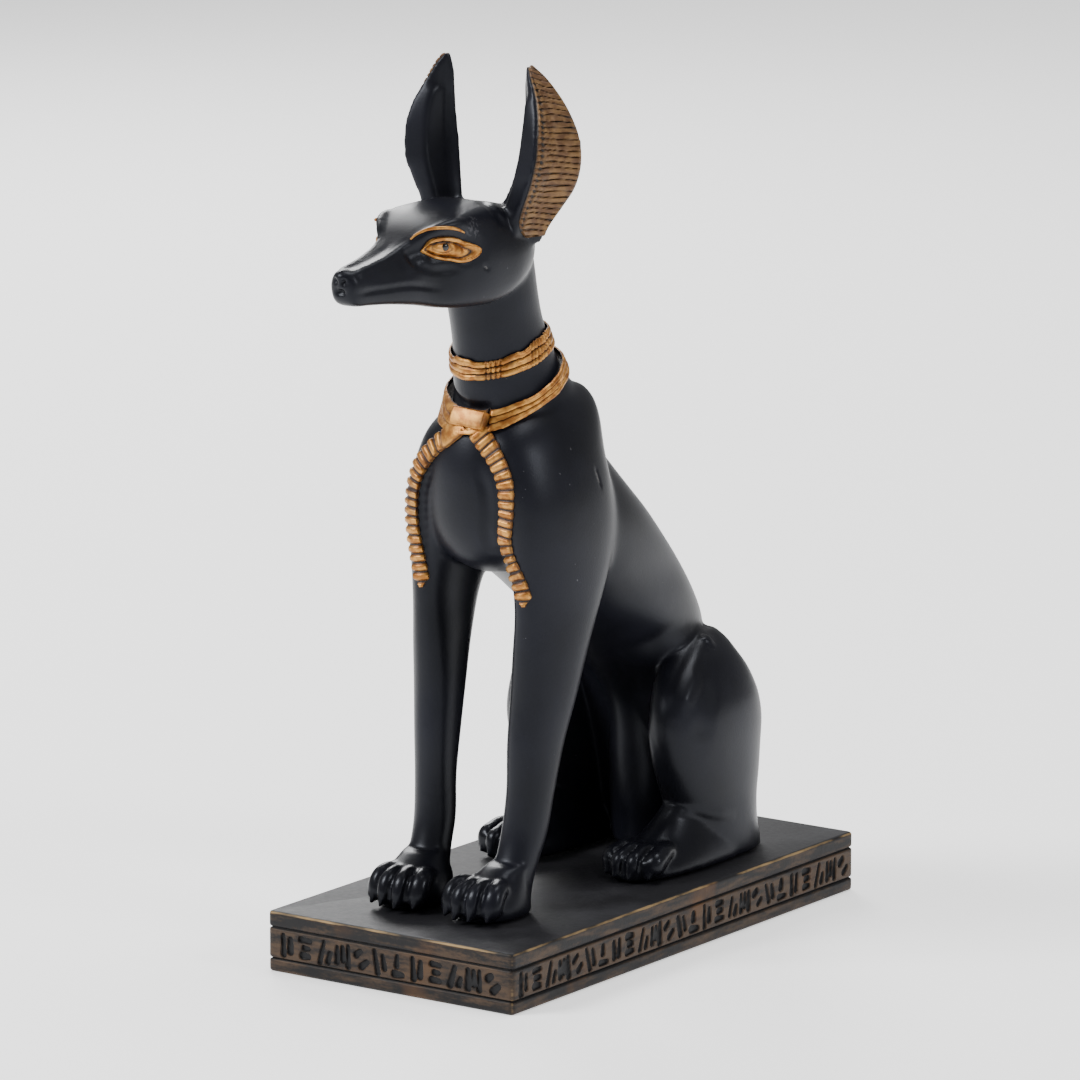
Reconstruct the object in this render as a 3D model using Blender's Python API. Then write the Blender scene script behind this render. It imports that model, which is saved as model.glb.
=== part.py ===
"""Sitting jackal figurine: a slender black jackal with a gold collar on a long low plinth.

Two cast pieces: the figure and the plinth. Units are metres, +Z is up, the origin is the middle
of the plinth's underside, and the jackal looks along -Y. +X is the jackal's left side.

The free form of the figure is drawn in its own units, millimetres of a jackal 186.4 mm from feet
to ear tips, with heights counted from the table under a plinth of 13.6 mm. FIGURE_HEIGHT scales
that drawing, and the plinth keeps its own sizes.
"""
import math

import bmesh
import bpy
import numpy as np
from mathutils import Matrix, Vector
from mathutils.bvhtree import BVHTree

# Plinth
PLINTH_LENGTH = 0.1336
PLINTH_WIDTH = 0.0657
PLINTH_HEIGHT = 0.0136
UPPER_BAND = 0.0033
LOWER_BAND = 0.0027
GROOVE_WIDTH = 0.0006
GROOVE_DEPTH = 0.0006
PLINTH_EDGE = 0.0005
CORNER_RADIUS = 0.0012

# Strokes of the frieze
STROKE_DEPTH = 0.0006
STROKE_WIDTH = 0.0011
STROKE_HEIGHT = 0.0052
STROKE_PITCH = 0.0050
FRIEZE_MARGIN = 0.0040

# Figure
FIGURE_HEIGHT = 0.1864
SEAT_GAP = 0.0003
DRAWN_HEIGHT = 186.4
DRAWN_FOOT_LEVEL = 13.6
UNIT = FIGURE_HEIGHT / DRAWN_HEIGHT
FAR_EAR_LIFT = 1.2
RIDGE_SHARE = 0.12
TIP_RIDGE_SHARE = 0.05

# Gold work, in the figure's drawing
NECK_BAND = {"centre": (-24.5, 135.6), "slope": 0.30, "height": 4.3, "proud": 0.9, "rails": 2}
COLLAR = {"centre": (-22.0, 127.6), "slope": 0.42, "height": 3.5, "proud": 1.6, "rails": 3}
COLLAR_FLARE = 1.3
FLARE_MIDDLE = 214.0
FLARE_HALF = 34.0
CLASP_SIZE = (8.6, 2.6, 4.2)
CLASP_TILT = -26.0
CLASP_PLACE = (0.7, -37.7, 121.7)
RIBBON_WIDTH = 4.1
RIBBON_PROUD = 1.0
RIB_PITCH = 2.1
EYE_PROUD = 0.7

# Fineness of the surfaces
VOXEL = 0.62 * UNIT
BODY_PASSES = 15
RELIEF_PASSES = 2
FACE_SHARE = 0.0245
RING_POINTS = 40
LIMB_POINTS = 16
STEPS_BETWEEN = 4
BAND_STEPS = 72


def at(x, y, z):
    """A point of the figure's drawing, in metres above the plinth."""
    lift = PLINTH_HEIGHT + SEAT_GAP
    return Vector((x * UNIT, y * UNIT, (z - DRAWN_FOOT_LEVEL) * UNIT + lift))


def span(before, start, end, after, steps):
    """Points of the smooth curve from start to end, the last one left out."""
    out = []
    for step in range(steps):
        t = step / steps
        out.append(0.5 * (2 * start + (end - before) * t
                          + (2 * before - 5 * start + 4 * end - after) * t * t
                          + (3 * start - before - 3 * end + after) * t ** 3))
    return out


def through(rows, steps=STEPS_BETWEEN):
    """Rows of numbers, joined by a smooth curve with the given steps between each pair."""
    rows = np.array(rows, float)
    padded = np.vstack([2 * rows[0] - rows[1], rows, 2 * rows[-1] - rows[-2]])
    out = []
    for i in range(1, len(padded) - 2):
        out += span(*padded[i - 1:i + 3], steps)
    out.append(rows[-1])
    return np.array(out)


def around(points, steps=3):
    """A closed outline, rounded through its points."""
    points = np.array(points, float)
    count = len(points)
    out = []
    for i in range(count):
        out += span(*(points[(i + k) % count] for k in (-1, 0, 1, 2)), steps)
    return np.array(out)


def signed_power(value, power):
    """The power of a number's size, with the number's sign."""
    return math.copysign(abs(value) ** power, value)


class Form:
    """Closed shells of the figure, gathered in one mesh before they are made one body."""

    def __init__(self):
        self.bm = bmesh.new()

    def shell_at(self, rings, closed=False):
        """A shell through rings of places. A closed one joins its last ring to its first."""
        loops = [[self.bm.verts.new(point) for point in ring] for ring in rings]
        count = len(loops[0])
        pairs = list(zip(loops, loops[1:]))
        if closed:
            pairs.append((loops[-1], loops[0]))
        faces = []
        for lower, upper in pairs:
            for i in range(count):
                j = (i + 1) % count
                faces.append(self.bm.faces.new((lower[i], lower[j], upper[j], upper[i])))
        if not closed:
            faces.append(self.bm.faces.new(loops[0][::-1]))
            faces.append(self.bm.faces.new(loops[-1]))
        bmesh.ops.recalc_face_normals(self.bm, faces=faces)

    def shell(self, rings):
        """A closed shell through rings of drawing points, all of one length."""
        self.shell_at([[at(*point) for point in ring] for ring in rings])

    def oval_stack(self, rows, side=1, power=2.0):
        """Level oval slices on one side: height, centre x and y, half width, half depth, slant."""
        rings = []
        for z, cx, cy, half_x, half_y, slant in through(rows):
            ring = []
            for k in range(RING_POINTS):
                turn = math.tau * k / RING_POINTS
                wide = half_x * signed_power(math.cos(turn), 2 / power)
                deep = half_y * signed_power(math.sin(turn), 2 / power)
                ring.append((side * (cx + wide + slant * deep), cy + deep, z))
            rings.append(ring)
        self.shell(rings)

    def egg_stack(self, rows):
        """Level egg slices on the middle plane: height, front, widest and back y, half width."""
        rings = []
        for z, front, widest, back, half in through(rows):
            ring = []
            for k in range(RING_POINTS):
                turn = math.tau * k / RING_POINTS
                reach = (back - widest) if math.sin(turn) > 0 else (widest - front)
                ring.append((half * math.cos(turn), widest + reach * math.sin(turn), z))
            rings.append(ring)
        self.shell(rings)

    def limb(self, rows):
        """A rounded limb along a path: x, y, z and radius of each station."""
        rows = through(rows)
        rings = []
        for i, (x, y, z, radius) in enumerate(rows):
            ahead = Vector(rows[min(i + 1, len(rows) - 1)][:3])
            behind = Vector(rows[max(i - 1, 0)][:3])
            turn = (ahead - behind).to_track_quat("Z", "X")
            ring = []
            for k in range(LIMB_POINTS):
                angle = math.tau * k / LIMB_POINTS
                offset = Vector((radius * math.cos(angle), radius * math.sin(angle), 0))
                ring.append(Vector((x, y, z)) + turn @ offset)
            rings.append(ring)
        self.shell(rings)

    def mesh(self, name):
        """The gathered shells as one mesh."""
        mesh = bpy.data.meshes.new(name)
        self.bm.to_mesh(mesh)
        self.bm.free()
        return mesh


def trunk(form):
    """The keel of the chest, the barrel with its sloping back, and the seat."""
    form.egg_stack([
        (86.5, -31.0, -24.0, -12.0, 6.0),
        (89.5, -36.4, -24.0, -6.0, 10.4),
        (93.0, -39.0, -24.0, 0.0, 14.4),
        (98.0, -40.8, -23.0, 6.0, 16.8),
        (105.0, -41.4, -22.0, 6.0, 17.6),
        (112.0, -41.0, -21.0, 2.0, 16.8),
        (118.0, -39.2, -20.0, -1.0, 14.6),
        (123.0, -36.4, -20.0, -3.0, 11.6),
        (126.0, -34.4, -20.0, -6.0, 9.4),
    ])
    form.egg_stack([
        (14.0, 24.0, 35.0, 47.0, 9.0),
        (24.0, 23.0, 35.0, 48.5, 9.5),
        (36.0, 22.0, 34.0, 50.0, 9.0),
        (48.0, 20.0, 33.0, 50.0, 9.0),
        (58.0, 13.0, 29.0, 47.4, 11.0),
        (66.0, 5.0, 22.0, 43.5, 15.5),
        (73.0, -5.0, 13.0, 39.8, 17.0),
        (80.0, -14.0, 4.0, 34.8, 17.6),
        (87.0, -24.0, -4.0, 28.2, 18.6),
        (94.0, -30.0, -10.0, 21.2, 18.8),
        (100.0, -31.0, -14.0, 14.6, 18.0),
        (106.0, -31.0, -17.0, 8.6, 16.0),
        (111.0, -30.0, -19.0, 4.6, 13.2),
    ])
    form.egg_stack([
        (14.0, 30.0, 38.0, 46.5, 19.0),
        (22.0, 28.0, 37.0, 46.5, 19.5),
        (34.0, 26.0, 35.5, 47.8, 20.2),
        (46.0, 22.0, 33.0, 48.2, 19.6),
        (54.0, 18.0, 30.0, 46.4, 18.2),
        (60.0, 12.0, 26.0, 43.9, 17.4),
        (66.0, 8.0, 22.0, 40.8, 16.4),
        (72.0, 2.0, 16.0, 37.4, 14.6),
    ])


def shoulder_and_foreleg(form, side):
    """One slab from the withers down to the ankle of a foreleg."""
    form.oval_stack([
        (15.0, 11.2, -38.6, 4.8, 5.4, 0.0),
        (20.0, 11.3, -37.2, 4.6, 5.2, 0.0),
        (25.0, 11.7, -35.2, 4.5, 4.9, 0.04),
        (31.0, 12.1, -33.1, 4.65, 5.0, 0.09),
        (40.0, 12.8, -31.8, 4.6, 5.4, 0.13),
        (50.0, 13.2, -30.5, 5.0, 6.6, 0.15),
        (60.0, 13.9, -28.6, 5.5, 7.8, 0.17),
        (70.0, 14.5, -26.8, 5.55, 9.6, 0.15),
        (80.0, 14.9, -24.5, 5.4, 12.1, 0.12),
        (88.0, 14.4, -22.6, 6.4, 14.6, 0.08),
        (96.0, 13.5, -21.6, 7.6, 16.6, 0.04),
        (104.0, 12.0, -21.4, 8.4, 17.3, 0.0),
        (112.0, 9.5, -21.2, 8.9, 17.4, 0.0),
        (118.0, 7.5, -19.6, 8.5, 17.6, 0.0),
        (122.5, 6.0, -16.2, 7.0, 14.4, 0.0),
        (125.5, 5.0, -11.0, 4.0, 7.0, 0.0),
    ], side, power=2.15)


def toes(form, side, middle, front, length, knuckle, places):
    """Four short rounded toes: the paw's middle, its tips, their length and the knuckles' height."""
    for spread, reach in places:
        tip = front + reach
        form.limb([
            (side * (middle + 0.3 + 0.75 * spread), tip + length, knuckle - 0.6, 1.7),
            (side * (middle + 0.1 + 0.90 * spread), tip + 0.62 * length, knuckle, 2.2),
            (side * (middle + spread), tip + 0.36 * length, knuckle - 1.0, 2.4),
            (side * (middle + 1.05 * spread), tip + 2.0, 17.8, 2.4),
            (side * (middle + 1.05 * spread), tip + 1.4, 15.4, 2.2),
        ])


def forepaw(form, side):
    """A forepaw with its toes."""
    form.oval_stack([
        (DRAWN_FOOT_LEVEL, 10.4, -42.2, 7.2, 9.6, 0.0),
        (16.0, 10.4, -42.2, 7.2, 9.6, 0.0),
        (19.5, 10.4, -41.6, 6.6, 9.0, 0.0),
        (22.2, 10.9, -40.2, 5.4, 7.2, 0.0),
        (24.6, 11.4, -37.6, 4.4, 5.0, 0.0),
    ], side)
    places = ((-5.3, 1.8), (-1.8, 0.0), (1.8, 0.0), (5.3, 1.8))
    toes(form, side, 9.9, -53.8, 9.0, 20.8, places)


def haunch(form, side):
    """The folded thigh and knee of a hind leg."""
    form.oval_stack([
        (14.0, 18.0, 33.0, 7.5, 13.5, 0.0),
        (20.0, 18.0, 31.5, 7.5, 13.5, 0.0),
        (26.0, 18.4, 30.0, 7.5, 14.2, 0.0),
        (32.0, 18.9, 28.4, 7.8, 15.9, 0.0),
        (38.0, 19.2, 27.0, 8.0, 17.5, 0.0),
        (44.0, 19.4, 26.4, 8.2, 18.2, 0.0),
        (49.0, 19.3, 26.1, 8.0, 17.6, 0.0),
        (53.0, 18.6, 26.3, 7.6, 16.2, 0.0),
        (56.5, 17.7, 26.9, 7.0, 14.0, 0.0),
        (59.5, 16.6, 27.8, 6.2, 11.2, 0.0),
        (62.0, 15.2, 29.2, 4.9, 9.0, 0.0),
        (64.4, 13.6, 30.4, 3.2, 6.2, 0.0),
    ], side, power=2.2)


def hind_foot(form, side):
    """A long hind foot flat on the plinth, with its toes."""
    form.oval_stack([
        (DRAWN_FOOT_LEVEL, 17.0, 22.5, 8.8, 25.4, 0.0),
        (16.0, 17.0, 22.8, 8.6, 24.9, 0.0),
        (18.6, 17.2, 24.0, 7.8, 22.7, 0.0),
        (21.2, 17.4, 25.5, 6.8, 19.5, 0.0),
        (24.8, 17.8, 26.5, 5.5, 15.5, 0.0),
        (29.0, 18.2, 26.5, 4.0, 11.5, 0.0),
    ], side, power=2.4)
    places = ((-5.4, 2.4), (-1.8, 0.0), (1.8, 0.2), (5.4, 2.6))
    toes(form, side, 17.1, -3.2, 11.0, 19.4, places)


def tail(form):
    """A thin tail that drops behind the rump and lies along the plinth."""
    form.limb([
        (0.0, 44.0, 36.0, 3.0),
        (0.0, 49.5, 28.0, 3.2),
        (0.0, 52.5, 20.0, 3.1),
        (0.0, 56.0, 16.2, 2.6),
        (0.0, 60.5, 15.4, 1.9),
        (0.0, 63.5, 15.0, 1.1),
    ])


def neck(form):
    """The neck, leaning forward up into the head."""
    form.oval_stack([
        (112.0, 0.0, -18.0, 13.2, 17.4, 0.0),
        (118.0, 0.0, -18.2, 13.0, 17.2, 0.0),
        (124.0, 0.0, -19.4, 12.2, 16.2, 0.0),
        (130.0, 0.0, -22.4, 10.6, 13.8, 0.0),
        (136.0, 0.0, -24.6, 9.8, 12.2, 0.0),
        (142.0, 0.0, -26.7, 9.4, 11.3, 0.0),
        (148.0, 0.0, -28.3, 9.4, 11.1, 0.0),
        (154.0, 0.0, -29.2, 9.2, 10.9, 0.0),
        (160.0, 0.0, -29.4, 8.4, 10.0, 0.0),
    ])


def head(form):
    """Muzzle, brow, cheeks and crown as slices across the head, and the knob of the nose.

    Each slice gives y, the top height and half width of its flat top, the brow or upper cheek,
    the widest place, the jaw corner and the height of the underside.
    """
    slices = [
        (-82.9, 158.3, 1.2, 2.0, 157.8, 2.3, 156.6, 1.8, 155.0, 154.6),
        (-81.8, 159.7, 1.9, 2.9, 159.0, 3.4, 156.9, 2.6, 153.7, 153.1),
        (-79.8, 160.3, 2.0, 3.1, 159.5, 3.8, 156.6, 3.0, 152.9, 152.4),
        (-76.0, 160.9, 2.1, 3.2, 160.0, 4.4, 156.4, 3.5, 152.6, 152.2),
        (-70.5, 162.0, 2.4, 3.7, 161.0, 5.6, 156.4, 4.5, 152.1, 151.8),
        (-65.5, 163.8, 2.9, 4.5, 162.2, 6.5, 156.6, 5.5, 151.5, 151.1),
        (-61.0, 166.2, 4.4, 6.9, 165.1, 7.0, 157.0, 6.2, 150.8, 150.4),
        (-57.0, 167.8, 5.9, 9.2, 166.9, 8.0, 157.4, 7.0, 150.0, 149.6),
        (-52.0, 169.1, 6.2, 10.4, 167.6, 10.4, 157.8, 8.2, 149.3, 148.9),
        (-46.0, 169.8, 5.8, 10.2, 167.8, 12.3, 158.2, 9.4, 148.9, 148.5),
        (-40.0, 169.8, 5.4, 9.9, 167.8, 12.9, 158.6, 10.2, 149.0, 148.5),
        (-34.0, 168.9, 4.9, 9.1, 166.9, 12.7, 159.0, 10.4, 150.6, 149.8),
        (-28.0, 167.2, 4.2, 8.0, 165.2, 11.0, 159.4, 9.0, 153.0, 152.2),
        (-23.0, 164.0, 3.4, 6.0, 162.2, 7.6, 159.2, 6.4, 155.8, 155.0),
        (-19.9, 160.8, 2.2, 3.8, 160.0, 4.2, 159.0, 4.0, 157.4, 157.0),
    ]
    rings = []
    for y, top, flat, brow_x, brow_z, wide, wide_z, jaw, jaw_z, under in through(slices):
        half = [(0, top), (flat, top - 0.1), (brow_x, brow_z), (wide, wide_z), (jaw, jaw_z), (0, under)]
        left = [(-x, z) for x, z in half[-2:0:-1]]
        rings.append([(x, y, z) for x, z in around(half + left)])
    form.shell(rings)
    form.limb([
        (0.0, -79.6, 158.0, 2.0),
        (0.0, -81.5, 158.2, 2.5),
        (0.0, -82.8, 158.0, 2.1),
        (0.0, -83.5, 157.8, 1.2),
    ])


def ear(form, side):
    """A tall ear of three edges: the rim in front, the inner edge and the outer edge behind.
    A soft ridge runs up its front face, between the rim and the inner edge.

    Each row gives the height, then x and y of the inner edge, the rim and the outer edge.
    """
    lift = FAR_EAR_LIFT if side < 0 else 0.0
    rows = [
        (160.0, 5.4, -31.0, 11.6, -35.6, 13.0, -28.6),
        (164.0, 4.8, -32.0, 12.5, -36.8, 15.3, -28.0),
        (168.0, 4.9, -31.9, 13.6, -36.6, 17.4, -26.8),
        (172.0, 6.0, -30.6, 15.3, -37.2, 20.3, -25.4),
        (176.0, 7.0, -29.6, 16.8, -37.5, 21.9, -25.4),
        (180.0, 7.8, -29.0, 17.4, -37.0, 22.3, -25.4),
        (184.0, 8.3, -28.8, 17.3, -36.4, 21.8, -25.7),
        (188.0, 8.6, -28.9, 16.5, -35.0, 20.2, -26.4),
        (192.0, 8.9, -29.0, 14.9, -33.1, 17.5, -27.3),
        (196.0, 9.2, -29.1, 12.7, -31.8, 14.3, -28.2),
        (198.6, 9.9, -29.4, 11.0, -30.6, 11.4, -29.2),
    ]
    rings = []
    for z, inner_x, inner_y, rim_x, rim_y, outer_x, outer_y in through(rows):
        inner = np.array((inner_x, inner_y))
        rim = np.array((rim_x, rim_y))
        outer = np.array((outer_x, outer_y))
        hollow = 0.5 * (rim + outer) + 0.16 * (inner - 0.5 * (rim + outer))
        slope = inner - rim
        ahead = np.array((-slope[1], slope[0])) * (RIDGE_SHARE if z < 192.0 else TIP_RIDGE_SHARE)
        ridge = rim + 0.38 * slope + ahead
        valley = rim + 0.76 * slope - 0.5 * ahead
        back = 0.5 * (inner + outer) + 0.22 * (0.5 * (inner + outer) - rim)
        outline = (inner, valley, ridge, rim, hollow, outer, back)
        rings.append([(side * x, y, z + lift) for x, y in outline])
    form.shell(rings)


def on_head(body, side, y, z):
    """The place and the direction of the head's side near y and z."""
    way = Vector((-side, 0.0, -0.5)).normalized()
    hit, normal, _, _ = body.ray_cast(at(side * 7.0, y, z) - way * 30.0 * UNIT, way)
    return hit, normal


def eye(form, body, side):
    """A raised almond eye on the side of the head. Each row gives y, height and half height."""
    rings = []
    for y, middle, half in through([
        (-61.7, 162.9, 0.12),
        (-60.0, 163.0, 1.7),
        (-57.0, 161.8, 2.5),
        (-54.0, 160.6, 2.65),
        (-50.9, 159.4, 2.1),
        (-49.4, 159.1, 1.3),
        (-48.0, 158.9, 0.12),
    ]):
        outer = []
        inner = []
        for across in (-1.0, -0.5, 0.0, 0.5, 1.0):
            hit, normal = on_head(body, side, y, middle + half * across)
            dome = 1.0 - 0.5 * across * across
            outer.append(hit + normal * EYE_PROUD * dome * UNIT)
            inner.append(hit - normal * UNIT)
        rings.append(outer + inner[::-1])
    form.shell_at(rings)


def brow(form, body, side):
    """The thin brow line over an eye."""
    rows = []
    lift = PLINTH_HEIGHT + SEAT_GAP
    for y, z, radius in (
        (-63.5, 166.2, 0.3),
        (-61.0, 167.0, 0.6),
        (-58.2, 166.2, 0.6),
        (-54.4, 164.7, 0.5),
        (-52.8, 163.8, 0.3),
    ):
        hit, normal = on_head(body, side, y, z)
        point = hit + normal * 0.2 * UNIT
        rows.append((point.x / UNIT, point.y / UNIT, (point.z - lift) / UNIT + DRAWN_FOOT_LEVEL, radius))
    form.limb(rows)


def neck_band(form, body, centre, slope, height, proud, rails, flare=0.0):
    """A band laid round the neck on a tilted plane, with raised rails between grooves.

    A flare is how much further it stands off the neck on the far front.
    """
    sunk = -1.5
    rise_and_out = [(-0.5, sunk), (-0.5, proud - 0.3)]
    for rail in range(rails):
        low = -0.5 + rail / rails
        high = low + 1 / rails
        rise_and_out += [(low + 0.08, proud), (high - 0.08, proud)]
        if rail < rails - 1:
            rise_and_out.append((high, proud - 0.45))
    rise_and_out += [(0.5, proud - 0.3), (0.5, sunk)]
    rings = []
    for k in range(BAND_STEPS):
        turn = math.tau * k / BAND_STEPS
        way = Vector((math.cos(turn), math.sin(turn), slope * math.sin(turn)))
        stand_off = flare * math.exp(-((math.degrees(turn) - FLARE_MIDDLE) / FLARE_HALF) ** 2)
        ring = []
        for rise, out in rise_and_out:
            middle = at(0.0, centre[0], centre[1] + rise * height)
            hit, _, _, _ = body.ray_cast(middle, way)
            reach = out if out < 0.0 else out + stand_off
            ring.append(hit + way.normalized() * reach * UNIT)
        rings.append(ring)
    form.shell_at(rings, closed=True)


def clasp(form):
    """The block that closes the collar in front."""
    block = bmesh.ops.create_cube(form.bm, size=1.0)["verts"]
    size = Matrix.Diagonal((*(length * UNIT for length in CLASP_SIZE), 1.0))
    tilt = Matrix.Rotation(math.radians(CLASP_TILT), 4, "X")
    place = Matrix.Translation(at(*CLASP_PLACE))
    bmesh.ops.transform(form.bm, matrix=place @ tilt @ size, verts=block)


def ribbon(form, body, path):
    """A ribbed ribbon laid on the chest along x and z, narrower towards its end."""
    path = through(path, steps=8)
    rings = []
    run = 0.0
    for i, (x, z) in enumerate(path):
        ahead = path[min(i + 1, len(path) - 1)] - path[max(i - 1, 0)]
        across = Vector((-ahead[1], 0.0, ahead[0])).normalized()
        if i:
            run += float(np.linalg.norm(path[i] - path[i - 1]))
        half = 0.5 * RIBBON_WIDTH * (1.0 - 0.25 * i / (len(path) - 1))
        wave = 0.22 * math.cos(math.tau * run / RIB_PITCH)
        ring = []
        for sign in (-1, 1):
            start = at(x + sign * half * across.x, -70.0, z + sign * half * across.z)
            hit, normal, _, _ = body.ray_cast(start, Vector((0, 1, 0)))
            inner = hit - normal * 1.2 * UNIT
            outer = hit + normal * (RIBBON_PROUD + wave) * UNIT
            ring += [inner, outer] if sign < 0 else [outer, inner]
        rings.append(ring)
    form.shell_at(rings)


def ribbons(form, body):
    """Both ribbons that fall from the clasp: the one on the left, and the one on the right."""
    ribbon(form, body, [
        (1.8, 121.0),
        (4.0, 118.4),
        (7.2, 115.2),
        (9.7, 111.5),
        (11.0, 107.8),
        (11.2, 103.4),
        (10.7, 99.2),
        (10.2, 95.6),
        (11.0, 92.0),
        (12.6, 88.6),
        (13.9, 85.2),
        (14.5, 81.8),
    ])
    ribbon(form, body, [
        (-0.6, 120.4),
        (-3.8, 117.6),
        (-7.0, 115.4),
        (-9.9, 112.6),
        (-12.3, 109.4),
        (-13.7, 106.0),
        (-14.3, 102.4),
        (-14.5, 98.6),
        (-14.2, 94.4),
        (-13.7, 90.4),
        (-13.1, 86.4),
        (-12.7, 82.9),
    ])


def finish_material(name, colour, roughness, metallic):
    """A plain finish of one colour."""
    material = bpy.data.materials.new(name)
    material.use_nodes = True
    shader = material.node_tree.nodes["Principled BSDF"]
    shader.inputs["Base Color"].default_value = (*colour, 1.0)
    shader.inputs["Roughness"].default_value = roughness
    shader.inputs["Metallic"].default_value = metallic
    return material


def add_object(name, mesh):
    """An object with its mesh in the scene."""
    obj = bpy.data.objects.new(name, mesh)
    bpy.context.scene.collection.objects.link(obj)
    return obj


def melt(obj, passes):
    """Makes overlapping shells one body and rounds the seams between them."""
    remesh = obj.modifiers.new("One body", "REMESH")
    remesh.mode = "VOXEL"
    remesh.voxel_size = VOXEL
    smooth = obj.modifiers.new("Rounded seams", "SMOOTH")
    smooth.factor = 0.5
    smooth.iterations = passes


def melted_body():
    """Trunk, legs, head and ears as one smooth surface, without the gold work."""
    form = Form()
    trunk(form)
    neck(form)
    head(form)
    tail(form)
    for side in (1, -1):
        shoulder_and_foreleg(form, side)
        forepaw(form, side)
        haunch(form, side)
        hind_foot(form, side)
        ear(form, side)
    core = add_object("core", form.mesh("core"))
    melt(core, BODY_PASSES)
    graph = bpy.context.evaluated_depsgraph_get()
    melted = bpy.data.meshes.new_from_object(core.evaluated_get(graph), depsgraph=graph)
    rough = core.data
    bpy.data.objects.remove(core)
    bpy.data.meshes.remove(rough)
    return melted


def build_jackal():
    """The figure, cast in one piece with its collar, ribbons and eyes."""
    melted = melted_body()
    form = Form()
    form.bm.from_mesh(melted)
    bpy.data.meshes.remove(melted)
    body = BVHTree.FromBMesh(form.bm)
    neck_band(form, body, **NECK_BAND)
    neck_band(form, body, **COLLAR, flare=COLLAR_FLARE)
    clasp(form)
    ribbons(form, body)
    for side in (1, -1):
        eye(form, body, side)
        brow(form, body, side)
    jackal = add_object("jackal", form.mesh("jackal"))
    melt(jackal, RELIEF_PASSES)
    lighten = jackal.modifiers.new("Faces", "DECIMATE")
    lighten.ratio = FACE_SHARE
    jackal.data.materials.append(finish_material("black resin", (0.012, 0.012, 0.016), 0.36, 0.0))
    return jackal


def plinth_levels():
    """Heights and insets of the plinth's sides, from the underside up."""
    frieze_low = LOWER_BAND + GROOVE_WIDTH
    frieze_high = PLINTH_HEIGHT - UPPER_BAND - GROOVE_WIDTH
    return [
        (0.0, PLINTH_EDGE),
        (PLINTH_EDGE, 0.0),
        (LOWER_BAND, 0.0),
        (LOWER_BAND + GROOVE_WIDTH / 2, GROOVE_DEPTH),
        (frieze_low, 0.0),
        (frieze_high, 0.0),
        (frieze_high + GROOVE_WIDTH / 2, GROOVE_DEPTH),
        (frieze_high + GROOVE_WIDTH, 0.0),
        (PLINTH_HEIGHT - PLINTH_EDGE, 0.0),
        (PLINTH_HEIGHT, PLINTH_EDGE),
    ]


def rounded_rectangle(half_x, half_y, radius, steps=3):
    """A rectangle with rounded corners, anticlockwise from +X."""
    points = []
    for sx, sy, start in ((1, 1, 0), (-1, 1, 90), (-1, -1, 180), (1, -1, 270)):
        for k in range(steps + 1):
            turn = math.radians(start + 90.0 * k / steps)
            points.append((sx * (half_x - radius) + radius * math.cos(turn),
                           sy * (half_y - radius) + radius * math.sin(turn)))
    return points


def frieze_strokes(run):
    """Places of the strokes along a side: distance, rise, length, width and lean.

    Groups of upright, leaning and level strokes take turns. They stand for an inscription and
    spell nothing.
    """
    groups = (
        [(-0.22, 0.0, 1.0, 1.0, 0), (0.16, 0.02, 0.8, 1.0, 0)],
        [(0.0, 0.32, 0.66, 1.0, 90), (0.04, 0.0, 0.5, 1.0, 90), (0.0, -0.32, 0.66, 1.0, 90)],
        [(-0.12, 0.0, 1.0, 1.0, 16), (0.26, -0.18, 0.55, 1.0, 16)],
        [(-0.3, 0.0, 0.9, 1.0, 0), (0.0, 0.08, 0.7, 1.0, 0), (0.3, 0.0, 0.95, 1.0, 0)],
        [(-0.14, 0.22, 0.5, 1.1, 52), (0.18, -0.2, 0.55, 1.1, 52)],
        [(-0.2, 0.0, 1.0, 1.0, -14), (0.2, 0.04, 0.75, 1.0, -14)],
        [(0.0, -0.36, 0.74, 1.0, 90), (-0.08, 0.18, 0.55, 1.1, 6)],
    )
    count = int((run - 2 * FRIEZE_MARGIN) / STROKE_PITCH) + 1
    start = -0.5 * (count - 1) * STROKE_PITCH
    for i in range(count):
        for along, rise, length, width, lean in groups[i % len(groups)]:
            yield (start + (i + along) * STROKE_PITCH, rise * STROKE_HEIGHT,
                   length * STROKE_HEIGHT, width * STROKE_WIDTH, math.radians(lean))


def add_stroke_cutter():
    """All strokes of the four sides as one set of small blocks that cut the frieze."""
    bm = bmesh.new()
    middle = 0.5 * (LOWER_BAND + PLINTH_HEIGHT - UPPER_BAND)
    sides = (
        (PLINTH_WIDTH, PLINTH_LENGTH / 2, -90),
        (PLINTH_LENGTH, PLINTH_WIDTH / 2, 0),
        (PLINTH_WIDTH, PLINTH_LENGTH / 2, 90),
        (PLINTH_LENGTH, PLINTH_WIDTH / 2, 180),
    )
    for run, out, turn in sides:
        face = Matrix.Rotation(math.radians(turn), 4, "Z")
        for along, rise, length, width, lean in frieze_strokes(run):
            block = bmesh.ops.create_cube(bm, size=1.0)["verts"]
            size = Matrix.Diagonal((2 * STROKE_DEPTH, width, length, 1.0))
            lean_turn = Matrix.Rotation(lean, 4, "X")
            place = Matrix.Translation((out, along, middle + rise))
            bmesh.ops.transform(bm, matrix=face @ place @ lean_turn @ size, verts=block)
    mesh = bpy.data.meshes.new("frieze cutter")
    bm.to_mesh(mesh)
    bm.free()
    cutter = add_object("frieze_cutter", mesh)
    cutter.hide_render = True
    cutter.display_type = "WIRE"
    return cutter


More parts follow.
